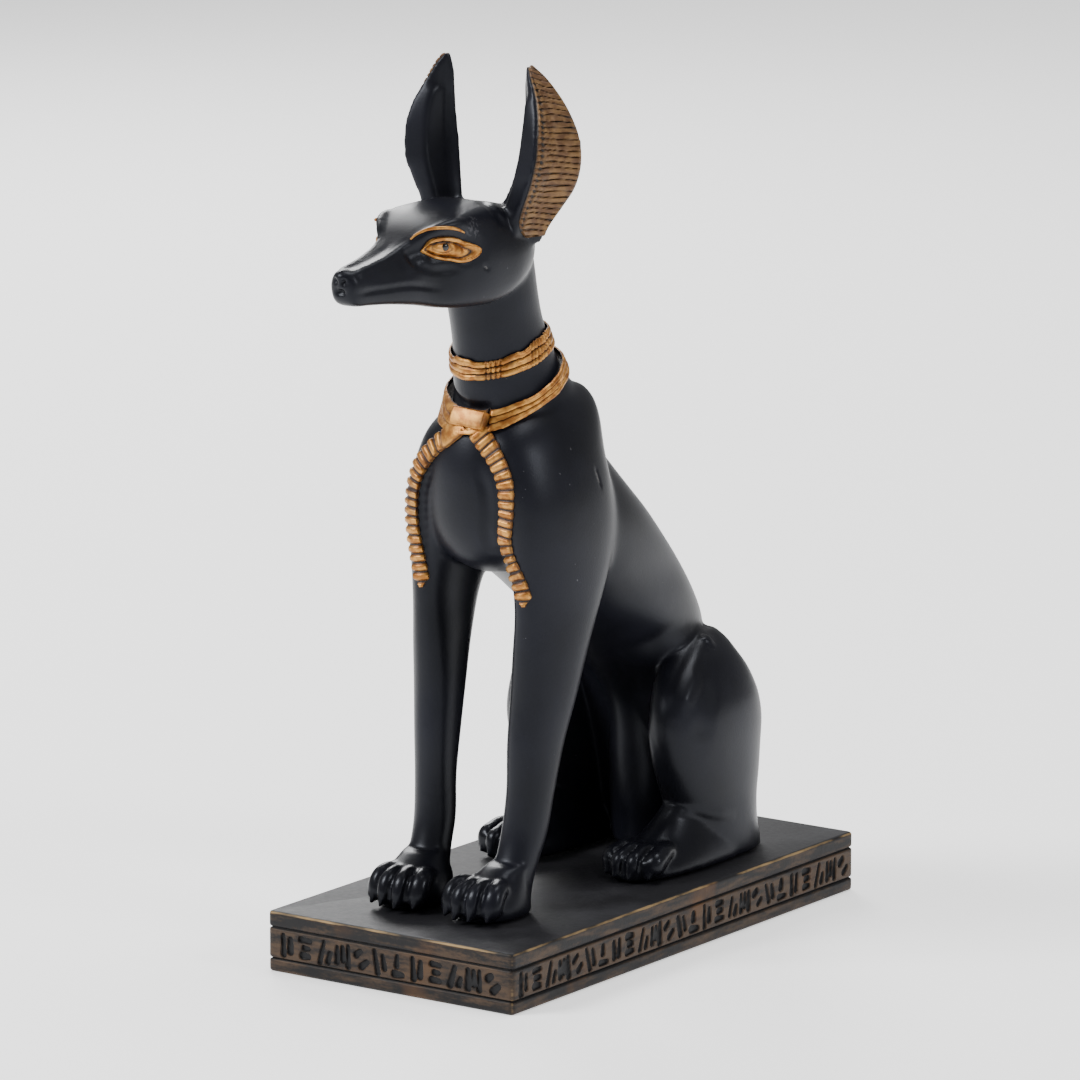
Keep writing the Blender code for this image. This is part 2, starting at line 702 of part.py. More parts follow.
def build_plinth():
    """The plinth: a low block with two grooves and a frieze of shallow strokes."""
    bm = bmesh.new()
    loops = []
    for height, inset in plinth_levels():
        outline = rounded_rectangle(PLINTH_WIDTH / 2 - inset, PLINTH_LENGTH / 2 - inset, CORNER_RADIUS)
        loops.append([bm.verts.new((x, y, height)) for x, y in outline])
    count = len(loops[0])
    for lower, upper in zip(loops, loops[1:]):
        for i in range(count):
            j = (i + 1) % count
            bm.faces.new((lower[i], lower[j], upper[j], upper[i]))
    bm.faces.new(loops[0][::-1])
    bm.faces.new(loops[-1])
    mesh = bpy.data.meshes.new("plinth")
    bm.to_mesh(mesh)
    bm.free()
    plinth = add_object("plinth", mesh)
    cut = plinth.modifiers.new("Frieze", "BOOLEAN")
    cut.operation = "DIFFERENCE"
    cut.solver = "EXACT"
    cut.use_self = True
    cut.object = add_stroke_cutter()
    plinth.data.materials.append(finish_material("aged bronze resin", (0.12, 0.09, 0.065), 0.5, 0.2))
    return plinth


def main():
    """Clears the scene and builds both pieces."""
    for obj in list(bpy.data.objects):
        bpy.data.objects.remove(obj)
    build_plinth()
    build_jackal()


main()
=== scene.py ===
import logging
import math
from dataclasses import dataclass, field
from enum import Enum
from typing import Sequence

import bmesh
import bpy
import numpy as np
from mathutils import Matrix, Vector
from mathutils.bvhtree import BVHTree


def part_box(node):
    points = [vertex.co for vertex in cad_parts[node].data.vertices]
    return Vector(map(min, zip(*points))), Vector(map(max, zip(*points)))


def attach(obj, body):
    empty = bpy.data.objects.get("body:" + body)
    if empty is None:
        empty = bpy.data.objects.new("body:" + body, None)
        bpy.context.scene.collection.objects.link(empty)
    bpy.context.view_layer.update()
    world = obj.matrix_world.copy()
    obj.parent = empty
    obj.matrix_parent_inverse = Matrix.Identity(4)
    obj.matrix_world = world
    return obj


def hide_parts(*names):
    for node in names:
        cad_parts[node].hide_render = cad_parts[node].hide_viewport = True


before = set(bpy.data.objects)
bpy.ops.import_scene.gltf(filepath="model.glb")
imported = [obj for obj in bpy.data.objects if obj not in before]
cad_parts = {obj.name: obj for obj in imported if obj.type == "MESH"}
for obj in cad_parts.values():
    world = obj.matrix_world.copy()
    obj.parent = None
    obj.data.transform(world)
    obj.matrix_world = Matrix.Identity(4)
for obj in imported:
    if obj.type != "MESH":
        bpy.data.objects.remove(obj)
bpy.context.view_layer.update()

JACKAL_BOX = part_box("jackal")
PLINTH_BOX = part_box("plinth")
LOG = logging.getLogger("jackal")

Row = tuple[float, ...]
Point = tuple[float, float, float]
Span = tuple[float, float]
Colour = tuple[float, float, float, float]


class Side(Enum):
    """The jackal's own left and right."""

    LEFT = 1
    RIGHT = -1


@dataclass(frozen=True)
class Drawing:
    """The figure's drawing: millimetres of a jackal 186.4 mm from feet to ear tips."""

    drawn_height: float = 186.4
    foot_level: float = 13.6
    real_height: float = 0.1864

    @property
    def unit(self) -> float:
        """Metres for one drawn millimetre."""
        return self.real_height / self.drawn_height

    @property
    def lift(self) -> float:
        """Height of the figure's soles."""
        return JACKAL_BOX[0].z

    def at(self, x: float, y: float, z: float) -> Vector:
        """A drawing point in the part's own frame."""
        rise = (z - self.foot_level) * self.unit
        return Vector((x * self.unit, y * self.unit, rise + self.lift))

    def back(self, point: Vector) -> Point:
        """The drawing point of a place in the part's frame."""
        return (point.x / self.unit, point.y / self.unit,
                (point.z - self.lift) / self.unit + self.foot_level)


PLAN = Drawing()


def through(rows: Sequence[Row], steps: int = 6) -> np.ndarray:
    """Joins rows of numbers by a smooth curve.

    Args:
        rows: the stations, all of one length.
        steps: how many rows each span becomes.

    Returns:
        The rows of the curve, ending on the last station.
    """
    table = np.array(rows, float)
    padded = np.vstack([2 * table[0] - table[1], table, 2 * table[-1] - table[-2]])
    out = []
    for i in range(1, len(padded) - 2):
        out.extend(_span(padded[i - 1:i + 3], steps))
    out.append(table[-1])
    return np.array(out)


def around(points: Sequence[Row], steps: int = 5) -> np.ndarray:
    """Rounds a closed outline through its points.

    Args:
        points: corners of the outline, in order.
        steps: how many points each span becomes.

    Returns:
        The points of the rounded outline.
    """
    corners = np.array(points, float)
    count = len(corners)
    out = []
    for i in range(count):
        out.extend(_span(corners[[(i + k) % count for k in (-1, 0, 1, 2)]], steps))
    return np.array(out)


def _span(four: np.ndarray, steps: int) -> list[np.ndarray]:
    """Points of the smooth curve between the second and third of four stations.

    Args:
        four: the four stations.
        steps: how many points.

    Returns:
        The points, without the one at the third station.
    """
    before, start, end, after = four
    out = []
    for step in range(steps):
        t = step / steps
        out.append(0.5 * (2 * start + (end - before) * t
                          + (2 * before - 5 * start + 4 * end - after) * t * t
                          + (3 * start - before - 3 * end + after) * t ** 3))
    return out


def signed_power(value: float, power: float) -> float:
    """The power of a number's size, with the number's sign."""
    return math.copysign(abs(value) ** power, value)


def soft_step(low: float, high: float, value: np.ndarray) -> np.ndarray:
    """A smooth rise from 0 at low to 1 at high."""
    share = np.clip((value - low) / (high - low), 0.0, 1.0)
    return share * share * (3.0 - 2.0 * share)


def eased(low: float, high: float, value: float) -> float:
    """The same smooth rise for one number."""
    return float(soft_step(low, high, np.array(value)))


def hill(value: float, middle: float, half: float) -> float:
    """A bell of height 1 round a middle."""
    return math.exp(-((value - middle) / half) ** 2)


class Modeller:
    """Selects, adds and finishes objects the way it is done by hand."""

    @staticmethod
    def only(obj: bpy.types.Object) -> None:
        """Selects one object and makes it the active one.

        Args:
            obj: the object.
        """
        bpy.ops.object.select_all(action="DESELECT")
        obj.select_set(True)
        bpy.context.view_layer.objects.active = obj

    @classmethod
    def add(cls, name: str, mesh: bpy.types.Mesh) -> bpy.types.Object:
        """Puts a mesh in the scene as a selected object.

        Args:
            name: the piece's name.
            mesh: its mesh.

        Returns:
            The object.
        """
        mesh.name = name
        obj = bpy.data.objects.new(name, mesh)
        bpy.context.scene.collection.objects.link(obj)
        cls.only(obj)
        return obj

    @classmethod
    def modify(cls, obj: bpy.types.Object, kind: str, **settings: object) -> None:
        """Adds a modifier with its settings and applies it.

        Args:
            obj: the object.
            kind: the modifier's type.
            settings: its settings.
        """
        cls.only(obj)
        modifier = obj.modifiers.new(kind.title(), kind)
        for name, value in settings.items():
            setattr(modifier, name, value)
        bpy.ops.object.modifier_apply(modifier=modifier.name)

    @classmethod
    def smooth(cls, obj: bpy.types.Object, angle: float | None = None) -> None:
        """Shades an object smooth, with sharp edges above an angle in degrees, if given.

        Args:
            obj: the object.
            angle: the least angle of a sharp edge, in degrees.
        """
        cls.only(obj)
        if angle is None:
            bpy.ops.object.shade_smooth()
        else:
            bpy.ops.object.shade_smooth_by_angle(angle=math.radians(angle))

    @classmethod
    def relax(cls, obj: bpy.types.Object, passes: int, **settings: object) -> None:
        """Smooths a mesh: each pass moves its points halfway to their neighbours' middle."""
        cls.modify(obj, "SMOOTH", factor=0.5, iterations=passes, **settings)

    @classmethod
    def thin(cls, obj: bpy.types.Object, faces: int) -> None:
        """Thins a mesh to so many triangles, where it has more."""
        obj.data.calc_loop_triangles()
        cls.modify(obj, "DECIMATE", ratio=min(1.0, faces / len(obj.data.loop_triangles)))

    @staticmethod
    def points(obj: bpy.types.Object) -> np.ndarray:
        """The places of a mesh's points, as rows.

        Args:
            obj: a mesh object.

        Returns:
            One row a point.
        """
        flat = np.empty(len(obj.data.vertices) * 3, np.float32)
        obj.data.vertices.foreach_get("co", flat)
        return flat.reshape(-1, 3).astype(float)

    @staticmethod
    def normals(obj: bpy.types.Object) -> np.ndarray:
        """The directions of a mesh's points, as rows.

        Args:
            obj: a mesh object.

        Returns:
            One row a point.
        """
        flat = np.empty(len(obj.data.vertices) * 3, np.float32)
        obj.data.vertex_normals.foreach_get("vector", flat)
        return flat.reshape(-1, 3).astype(float)

    @staticmethod
    def set_points(obj: bpy.types.Object, points: np.ndarray) -> None:
        """Moves a mesh's points."""
        obj.data.vertices.foreach_set("co", points.astype(np.float32).ravel())
        obj.data.update()

    @staticmethod
    def mark(obj: bpy.types.Object, name: str, values: np.ndarray) -> None:
        """Stores one number a point under a name that materials read."""
        layer = obj.data.attributes.new(name, "FLOAT", "POINT")
        layer.data.foreach_set("value", values.astype(np.float32))

    @staticmethod
    def finish(obj: bpy.types.Object, material: bpy.types.Material, slot: str) -> None:
        """Dresses a piece, fixes it to the body and reports it.

        Args:
            obj: the piece.
            material: its finish.
            slot: not used.
        """
        obj.data.materials.clear()
        obj.data.materials.append(material)
        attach(obj, "root")
        obj.data.calc_loop_triangles()
        LOG.info("%s: %d triangles", obj.name, len(obj.data.loop_triangles))


class Shells:
    """Closed shells in the figure's drawing, gathered in one mesh."""

    slice_points: int = 64
    limb_points: int = 24

    def __init__(self) -> None:
        """Starts with nothing."""
        self.bm = bmesh.new()

    def shell(self, rings: Sequence[Sequence[Row]]) -> None:
        """Adds a closed shell through rings of drawing points, all of one length."""
        self.shell_at([[PLAN.at(*point) for point in ring] for ring in rings])

    def shell_at(self, rings: Sequence[Sequence[Vector]], closed: bool = False) -> None:
        """Adds a shell through rings of places.

        Args:
            rings: rings of one length.
            closed: whether the last ring joins the first, as round a neck.
        """
        loops = [[self.bm.verts.new(point) for point in ring] for ring in rings]
        count = len(loops[0])
        pairs = list(zip(loops, loops[1:]))
        if closed:
            pairs.append((loops[-1], loops[0]))
        faces = []
        for lower, upper in pairs:
            for i in range(count):
                j = (i + 1) % count
                faces.append(self.bm.faces.new((lower[i], lower[j], upper[j], upper[i])))
        if not closed:
            faces.append(self.bm.faces.new(loops[0][::-1]))
            faces.append(self.bm.faces.new(loops[-1]))
        bmesh.ops.recalc_face_normals(self.bm, faces=faces)

    def oval_stack(self, rows: Sequence[Row], power: float = 2.0) -> None:
        """Adds level oval slices: height, centre x and y, half width, half depth and slant.

        Args:
            rows: the stations, from the lowest up.
            power: 2 for an oval, more for a squarer slice.
        """
        rings = []
        for z, cx, cy, half_x, half_y, slant in through(rows):
            ring = []
            for k in range(self.slice_points):
                turn = math.tau * k / self.slice_points
                deep = half_y * signed_power(math.sin(turn), 2 / power)
                wide = half_x * signed_power(math.cos(turn), 2 / power)
                ring.append((cx + wide + slant * deep, cy + deep, z))
            rings.append(ring)
        self.shell(rings)

    def egg_stack(self, rows: Sequence[Row]) -> None:
        """Adds level egg slices: height, front, widest and back y, half width.

        Args:
            rows: the stations, from the lowest up.
        """
        rings = []
        for z, front, widest, back, half in through(rows):
            ring = []
            for k in range(self.slice_points):
                turn = math.tau * k / self.slice_points
                reach = (back - widest) if math.sin(turn) > 0 else (widest - front)
                ring.append((half * math.cos(turn), widest + reach * math.sin(turn), z))
            rings.append(ring)
        self.shell(rings)

    def tube(self, rows: Sequence[Row]) -> None:
        """Adds a rounded limb along a path: x, y, z and radius of each station.

        Args:
            rows: the stations, from one end to the other.
        """
        stations = through(rows)
        rings = []
        for i, (x, y, z, radius) in enumerate(stations):
            ahead = Vector(stations[min(i + 1, len(stations) - 1)][:3])
            behind = Vector(stations[max(i - 1, 0)][:3])
            turn = (ahead - behind).to_track_quat("Z", "X")
            ring = []
            for k in range(self.limb_points):
                angle = math.tau * k / self.limb_points
                offset = Vector((radius * math.cos(angle), radius * math.sin(angle), 0))
                ring.append(Vector((x, y, z)) + turn @ offset)
            rings.append(ring)
        self.shell(rings)

    def mesh(self, name: str) -> bpy.types.Mesh:
        """The gathered shells as one mesh.

        Args:
            name: the mesh's name.

        Returns:
            The mesh. No shell can be added after it.
        """
        mesh = bpy.data.meshes.new(name)
        self.bm.to_mesh(mesh)
        self.bm.free()
        return mesh


@dataclass(frozen=True)
class Stroke:
    """A groove or ridge pressed into the figure along a path of drawing points.

    It starts and ends at a share of its strength, and is at full strength after a fade.
    """

    path: tuple[Point, ...]
    radius: float
    rise: float
    sides: tuple[Side, ...] = (Side.LEFT, Side.RIGHT)
    end_strength: float = 0.25
    end_fade: float = 4.0

    def share(self, points: np.ndarray, tree: BVHTree) -> np.ndarray:
        """How strongly each point lies under the stroke, from 0 to 1.

        Args:
            points: places of the figure's points.
            tree: the figure's surface, which the path is laid on.

        Returns:
            One number a point.
        """
        radius = self.radius * PLAN.unit
        weights = np.zeros(len(points))
        for side in self.sides:
            line = []
            for x, y, z in through(self.path, 5):
                line.append(tree.find_nearest(PLAN.at(side.value * x, y, z))[0])
            line = np.array(line)
            low, high = line.min(0) - radius, line.max(0) + radius
            near = np.where(np.all((points > low) & (points < high), axis=1))[0]
            if not len(near):
                continue
            chosen = points[near]
            best = np.full(len(near), np.inf)
            along = np.zeros(len(near))
            for number, (start, end) in enumerate(zip(line, line[1:])):
                way = end - start
                share = np.clip(((chosen - start) @ way) / max(way @ way, 1e-12), 0.0, 1.0)
                gap = np.linalg.norm(chosen - start - share[:, None] * way, axis=1)
                along = np.where(gap < best, (number + share) / (len(line) - 1), along)
                best = np.minimum(best, gap)
            to_end = np.minimum(along, 1.0 - along)
            fade = np.clip(self.end_strength + self.end_fade * to_end, 0.0, 1.0)
            under = np.clip(1.0 - (best / radius) ** 2, 0.0, 1.0) ** 2 * fade
            weights[near] = np.maximum(weights[near], under)
        return weights

    def press(self, points: np.ndarray, normals: np.ndarray, tree: BVHTree) -> np.ndarray:
        """The places of the points, moved along their normals by the stroke's rise."""
        return points + normals * (self.share(points, tree) * self.rise * PLAN.unit)[:, None]


@dataclass(frozen=True)
class Paw:
    """Four long rounded toes side by side, with a short claw on each.

    A row of a toe, a claw or a groove gives a step outwards, a share of the toe's spread, a share
    of its length, a step behind its tip, a share of the knuckle's height, a height above that
    and, but for a groove, a radius.
    """

    middle: float
    front: float
    length: float
    knuckle: float
    places: tuple[Span, ...]
    toe: tuple[Row, ...] = (
        (0.3, 0.75, 1, 0, 1, -0.6, 1.7), (0.1, 0.90, 0.62, 0, 1, 0, 2.1),
        (0, 1, 0.36, 0, 1, -1, 2.3), (0, 1.05, 0, 2.2, 0, 17.8, 2.3),
        (0, 1.05, 0, 1.9, 0, 15.4, 2.1),
    )
    claw: tuple[Row, ...] = (
        (0, 1.05, 0, 1.6, 0, 15.8, 0.9), (0, 1.05, 0, 0.5, 0, 15.4, 0.85),
        (0, 1.05, 0, -0.1, 0, 14.8, 0.75), (0, 1.05, 0, -0.3, 0, 14.2, 0.65),
    )
    groove: tuple[Row, ...] = (
        (0.1, 0.90, 0.62, 0, 1, 2), (0, 1, 0.36, 0, 1, 1), (0, 1.05, 0, 0.6, 0, 18.4),
        (0, 1.05, 0, -0.2, 0, 14.2),
    )
    groove_radius: float = 1.1
    groove_rise: float = -0.8

    def _run(self, rows: Sequence[Row], spread: float, reach: float, side: int) -> list[Row]:
        """The drawing points, and radii if any, of one toe, claw or groove.

        Args:
            rows: rows of a toe, claw or groove.
            spread: its step from the paw's middle.
            reach: how far its tip lies behind the paw's front.
            side: 1 for the left, -1 for the right.

        Returns:
            The stations.
        """
        tip = self.front + reach
        return [(side * (self.middle + out + wide * spread), tip + far * self.length + behind,
                 share * self.knuckle + height, *radius)
                for out, wide, far, behind, share, height, *radius in rows]

    def toes(self, side: int) -> list[list[Row]]:
        """The stations of each toe, from the knuckle to the tip."""
        return [self._run(self.toe, spread, reach, side) for spread, reach in self.places]

    def claws(self, side: int) -> list[list[Row]]:
        """The stations of each claw, from inside the toe down to its point."""
        return [self._run(self.claw, spread, reach, side) for spread, reach in self.places]

    def grooves(self) -> tuple[Stroke, ...]:
        """The deep grooves between neighbouring toes.

        Returns:
            A stroke for each gap, for both sides.
        """
        out = []
        for (left, reach), (right, other) in zip(self.places, self.places[1:]):
            path = self._run(self.groove, 0.5 * (left + right), 0.5 * (reach + other), 1)
            out.append(Stroke(tuple(path), self.groove_radius, self.groove_rise))
        return tuple(out)


@dataclass
class Jackal:
    """The black figure: torso, legs, head and ears as one cast body, in drawn millimetres.

    Rows of chest, barrel and seat are height, front, widest and back y, and half width. Those of
    legs, feet and neck are height, centre x and y, half width, half depth and slant. The head's
    start with y, and the ears' give height and the x and y of inner edge, rim and outer edge.
    """

    voxel: float = 0.42
    blend_passes: int = 24
    torso_passes: int = 110
    carved_passes: int = 2
    faces_kept: int = 188000
    far_ear_lift: float = 1.2
    soft_from: Span = (80.0, 91.0)
    soft_to: Span = (121.0, 129.0)
    soft_behind: Span = (-9.0, 4.0)
    soft_behind_from: Span = (62.0, 74.0)
    soft_levels: int = 10
    gloss_fall: Span = (6.0, 13.0)
    leg_power: float = 2.15
    haunch_power: float = 2.2
    foot_power: float = 2.4
    ear_rim_roll: float = 0.03
    ear_edge_roll: float = 0.07
    ear_hollow: float = 0.16
    ear_ridge: float = 0.19
    ear_tip_ridge: float = 0.08
    ear_tip_from: float = 192.0
    ear_ridge_place: float = 0.38
    ear_valley_place: float = 0.76
    ear_valley: float = 0.5
    ear_back: float = 0.22
    chest: tuple[Row, ...] = (
        (86.5, -31, -24, -12, 6), (89.5, -36.4, -24, -6, 10.4), (93, -39, -24, 0, 14.4),
        (98, -40.8, -23, 6, 16.8), (105, -41.4, -22, 6, 17.6), (112, -41, -21, 2, 16.8),
        (118, -39.2, -20, -1, 14.6), (123, -36.4, -20, -3, 11.6), (126, -34.4, -20, -6, 9.4),
    )
    barrel: tuple[Row, ...] = (
        (14, 24, 35, 47, 9), (24, 23, 35, 48.5, 9.5), (36, 22, 34, 50, 9), (48, 20, 33, 50, 9),
        (58, 13, 29, 47.4, 11), (66, 5, 22, 43.5, 15.5), (73, -5, 13, 39.8, 17),
        (80, -14, 4, 34.8, 17.6), (87, -24, -4, 28.2, 18.6), (94, -30, -10, 21.2, 18.8),
        (100, -31, -14, 14.6, 18), (106, -31, -17, 8.6, 16), (111, -30, -19, 4.6, 13.2),
    )
    seat: tuple[Row, ...] = (
        (14, 30, 38, 46.5, 19), (22, 28, 37, 46.5, 19.5), (34, 26, 35.5, 47.8, 20.2),
        (46, 22, 33, 48.2, 19.6), (54, 18, 30, 46.4, 18.2), (60, 12, 26, 43.9, 17.4),
        (66, 8, 22, 40.8, 16.4), (72, 2, 16, 37.4, 14.6),
    )
    foreleg: tuple[Row, ...] = (
        (15, 11.2, -38.6, 4.8, 5.4, 0), (20, 11.3, -37.2, 4.6, 5.2, 0),
        (25, 11.7, -35.2, 4.5, 4.9, 0.04), (31, 12.1, -33.1, 4.65, 5, 0.09),
        (40, 12.8, -31.8, 4.6, 5.4, 0.13), (50, 13.2, -30.5, 5, 6.6, 0.15),
        (60, 13.9, -28.6, 5.5, 7.8, 0.17), (70, 14.5, -26.8, 5.55, 9.6, 0.15),
        (80, 14.9, -24.5, 5.4, 12.1, 0.12), (88, 14.4, -22.6, 6.4, 14.6, 0.08),
        (96, 13.5, -21.6, 7.6, 16.6, 0.04), (104, 12, -21.4, 8.4, 17.3, 0),
        (112, 9.5, -21.2, 8.9, 17.4, 0), (118, 7.5, -19.6, 8.5, 17.6, 0),
        (122.5, 6, -16.2, 7, 14.4, 0), (125.5, 5, -11, 4, 7, 0),
    )
    forepaw: tuple[Row, ...] = (
        (13.6, 10.4, -42.2, 7.2, 9.6, 0), (16, 10.4, -42.2, 7.2, 9.6, 0),
        (19.5, 10.4, -41.6, 6.6, 9, 0), (22.2, 10.9, -40.2, 5.4, 7.2, 0),
        (24.6, 11.4, -37.6, 4.4, 5, 0),
    )
    haunch: tuple[Row, ...] = (
        (14, 18, 33, 7.5, 13.5, 0), (20, 18, 31.5, 7.5, 13.5, 0), (26, 18.4, 30, 7.5, 14.2, 0),
        (32, 18.9, 28.4, 7.8, 15.9, 0), (38, 19.2, 27, 8, 17.5, 0),
        (44, 19.4, 26.4, 8.2, 18.2, 0), (49, 19.3, 26.1, 8, 17.6, 0),
        (53, 18.6, 26.3, 7.6, 16.2, 0), (56.5, 17.7, 26.9, 7, 14, 0),
        (59.5, 16.6, 27.8, 6.2, 11.2, 0), (62, 15.2, 29.2, 4.9, 9, 0),
        (64.4, 13.6, 30.4, 3.2, 6.2, 0),
    )
    hind_foot: tuple[Row, ...] = (
        (13.6, 17, 22.5, 8.8, 25.4, 0), (16, 17, 22.8, 8.6, 24.9, 0),
        (18.6, 17.2, 24, 7.8, 22.7, 0), (21.2, 17.4, 25.5, 6.8, 19.5, 0),
        (24.8, 17.8, 26.5, 5.5, 15.5, 0), (29, 18.2, 26.5, 4, 11.5, 0),
    )
    tail: tuple[Row, ...] = (
        (0, 44, 36, 3), (0, 49.5, 28, 3.2), (0, 52.5, 20, 3.1), (0, 56, 16.2, 2.6),
        (0, 60.5, 15.4, 1.9), (0, 63.5, 15, 1.1),
    )
    neck: tuple[Row, ...] = (
        (112, 0, -18, 13.2, 17.4, 0), (118, 0, -18.2, 13, 17.2, 0),
        (124, 0, -19.4, 12.2, 16.2, 0), (130, 0, -22.4, 10.6, 13.8, 0),
        (136, 0, -24.6, 9.8, 12.2, 0), (142, 0, -26.7, 9.4, 11.3, 0),
        (148, 0, -28.3, 9.4, 11.1, 0), (154, 0, -29.2, 9.2, 10.9, 0), (160, 0, -29.4, 8.4, 10, 0),
    )
    head: tuple[Row, ...] = (
        (-82.9, 158.3, 1.2, 2, 157.8, 2.3, 156.6, 1.8, 155, 154.6),
        (-81.8, 159.7, 1.9, 2.9, 159, 3.4, 156.9, 2.6, 153.7, 153.1),
        (-79.8, 160.3, 2, 3.1, 159.5, 3.8, 156.6, 3, 152.9, 152.4),
        (-76, 160.9, 2.1, 3.2, 160, 4.4, 156.4, 3.5, 152.6, 152.2),
        (-70.5, 162, 2.4, 3.7, 161, 5.6, 156.4, 4.5, 152.1, 151.8),
        (-65.5, 163.8, 2.9, 4.5, 162.2, 6.5, 156.6, 5.5, 151.5, 151.1),
        (-61, 166.2, 4.4, 6.9, 165.1, 7, 157, 6.2, 150.8, 150.4),
        (-57, 167.8, 5.9, 9.2, 166.9, 8, 157.4, 7, 150, 149.6),
        (-52, 169.1, 6.2, 10.4, 167.6, 10.4, 157.8, 8.2, 149.3, 148.9),
        (-46, 169.8, 5.8, 10.2, 167.8, 12.3, 158.2, 9.4, 148.9, 148.5),
        (-40, 169.8, 5.4, 9.9, 167.8, 12.9, 158.6, 10.2, 149, 148.5),
        (-34, 168.9, 4.9, 9.1, 166.9, 12.7, 159, 10.4, 150.6, 149.8),
        (-28, 167.2, 4.2, 8, 165.2, 11, 159.4, 9, 153, 152.2),
        (-23, 164, 3.4, 6, 162.2, 7.6, 159.2, 6.4, 155.8, 155),
        (-19.9, 160.8, 2.2, 3.8, 160, 4.2, 159, 4, 157.4, 157),
    )
    nose: tuple[Row, ...] = (
        (0, -79.6, 158, 2), (0, -81.5, 158.2, 2.5), (0, -82.8, 158, 2.1), (0, -83.5, 157.8, 1.2),
    )
    ear: tuple[Row, ...] = (
        (160, 5.4, -31, 11.6, -35.6, 13, -28.6), (164, 4.8, -32, 12.6, -36.6, 15.2, -28.4),
        (168, 4.9, -31.9, 13.6, -36.6, 17.4, -26.8), (172, 6, -30.6, 15.4, -36.9, 20, -26.1),
        (176, 7, -29.6, 16.9, -37.2, 21.6, -26.1), (180, 7.8, -29, 17.5, -36.7, 22, -26.1),
        (184, 8.3, -28.8, 17.4, -36.1, 21.5, -26.4), (188, 8.6, -28.9, 16.6, -34.8, 20, -26.9),
        (192, 8.9, -29, 14.9, -33.1, 17.5, -27.3), (196, 9.2, -29.1, 12.7, -31.8, 14.3, -28.2),
        (198.6, 9.9, -29.4, 11, -30.6, 11.4, -29.2),
    )
    paws: tuple[Paw, ...] = (
        Paw(9.9, -53.8, 9, 20.8, ((-5.3, 1.8), (-1.8, 0), (1.8, 0), (5.3, 1.8))),
        Paw(17.1, -3.2, 11, 19.4, ((-5.4, 2.4), (-1.8, 0), (1.8, 0.2), (5.4, 2.6))),
    )
    carving: tuple[Stroke, ...] = (
        # eye socket, bridge edges, mouth, the bag under the eye and the brow ridge
        Stroke(((8.6, -63.6, 162), (9.4, -57, 162.6), (11.3, -49.6, 161.2)), 4.4, -1.5),
        Stroke(((6, -66.4, 161.4), (6.4, -64.4, 162.2), (7.2, -61.5, 162.8)), 3, -0.9),
        Stroke(((2.3, -82, 160.4), (2.9, -75, 161.5), (3.9, -67.5, 163.6), (5, -64, 165.2)),
               1.5, 0.4),
        Stroke(((0, -80, 160.6), (0, -72, 162), (0, -66, 164)), 1.8, -0.3),
        Stroke(((3.2, -81.5, 155.6), (4.6, -74, 155.6), (6, -66, 155.4), (7.4, -58, 153.8)),
               1, -0.42),
        Stroke(((6.6, -64.8, 160.6), (7.6, -62, 158.6), (9, -58, 157.6), (10.8, -53.5, 157.6)),
               1.5, -0.35),
        Stroke(((5.4, -64, 166.2), (7.8, -60, 167.6), (9.8, -55.3, 168), (10.9, -51.5, 167)),
               2, 0.6),
        # nostrils, the edge of the nose pad and the front of the mouth
        Stroke(((1.3, -84.4, 158.2), (1.6, -84, 157.7)), 0.95, -1.3),
        Stroke(((0, -83.6, 155.9), (0.9, -83.6, 155.6)), 0.9, -1),
        Stroke(((2.4, -80.6, 160.4), (3.4, -80.6, 158.4)), 1.3, -0.2),
        # the roll round the foot of each ear
        Stroke(((4.6, -35.5, 169.2), (8.4, -38.6, 168.2), (12.6, -37, 166)), 1.9, 0.3),
        Stroke(((3.6, -37.6, 169.6), (8, -41, 168.6), (13, -39.6, 165.6)), 1.9, -0.25),
        # haunch: the hip, the ridges over the thigh, the shin and the fold on the foot
        Stroke(((18.4, 28.6, 63.2), (19, 27.4, 63), (19.6, 26.4, 62.4)), 2.8, 0.8),
        Stroke(((16.5, 32, 66), (20.5, 22, 62), (23, 13, 57), (24, 9, 51)), 2.9, 0.6),
        Stroke(((22.6, 19, 57.6), (23.6, 14.6, 54.6), (23.9, 11.6, 51.6)), 2.6, 0.45),
        Stroke(((24.4, 20.4, 57), (26, 16.4, 50), (26, 14.5, 43)), 4.4, -0.35),
        Stroke(((15.4, 10.2, 47.6), (17, 9.8, 38.7), (16, 14.5, 29)), 2.2, 0.35),
        Stroke(((18.6, 12.4, 27), (23.3, 18.4, 26.4), (25.6, 27.8, 23.8)), 2, 0.4),
        # the chest's edges along the ribbons
        Stroke(((5.6, -41, 111.6), (7.4, -42, 107), (8, -42, 102), (7.6, -42, 97),
                (8.4, -41, 90)), 1.9, -0.45, (Side.LEFT,)),
        Stroke(((9, -40, 110), (11, -39, 105), (11.6, -38, 99), (11.4, -38, 93),
                (10.6, -38, 86)), 1.9, -0.45, (Side.RIGHT,)),
        # the gap between the collar and the throat on the right, and small damage
        Stroke(((6, -36.6, 124.6), (0, -37.6, 124.2), (-7, -35.2, 125.2), (-11.5, -29.5, 127.6)),
               2, -1, (Side.LEFT,)),
        Stroke(((11.8, -47.7, 157.7), (12.2, -46, 156.7)), 0.7, -0.3, (Side.LEFT,)),
        Stroke(((18.8, -15.8, 109.4), (19.3, -15.4, 107.2), (19.7, -14.8, 104.9)), 0.7, -0.3,
               (Side.LEFT,)),
    )
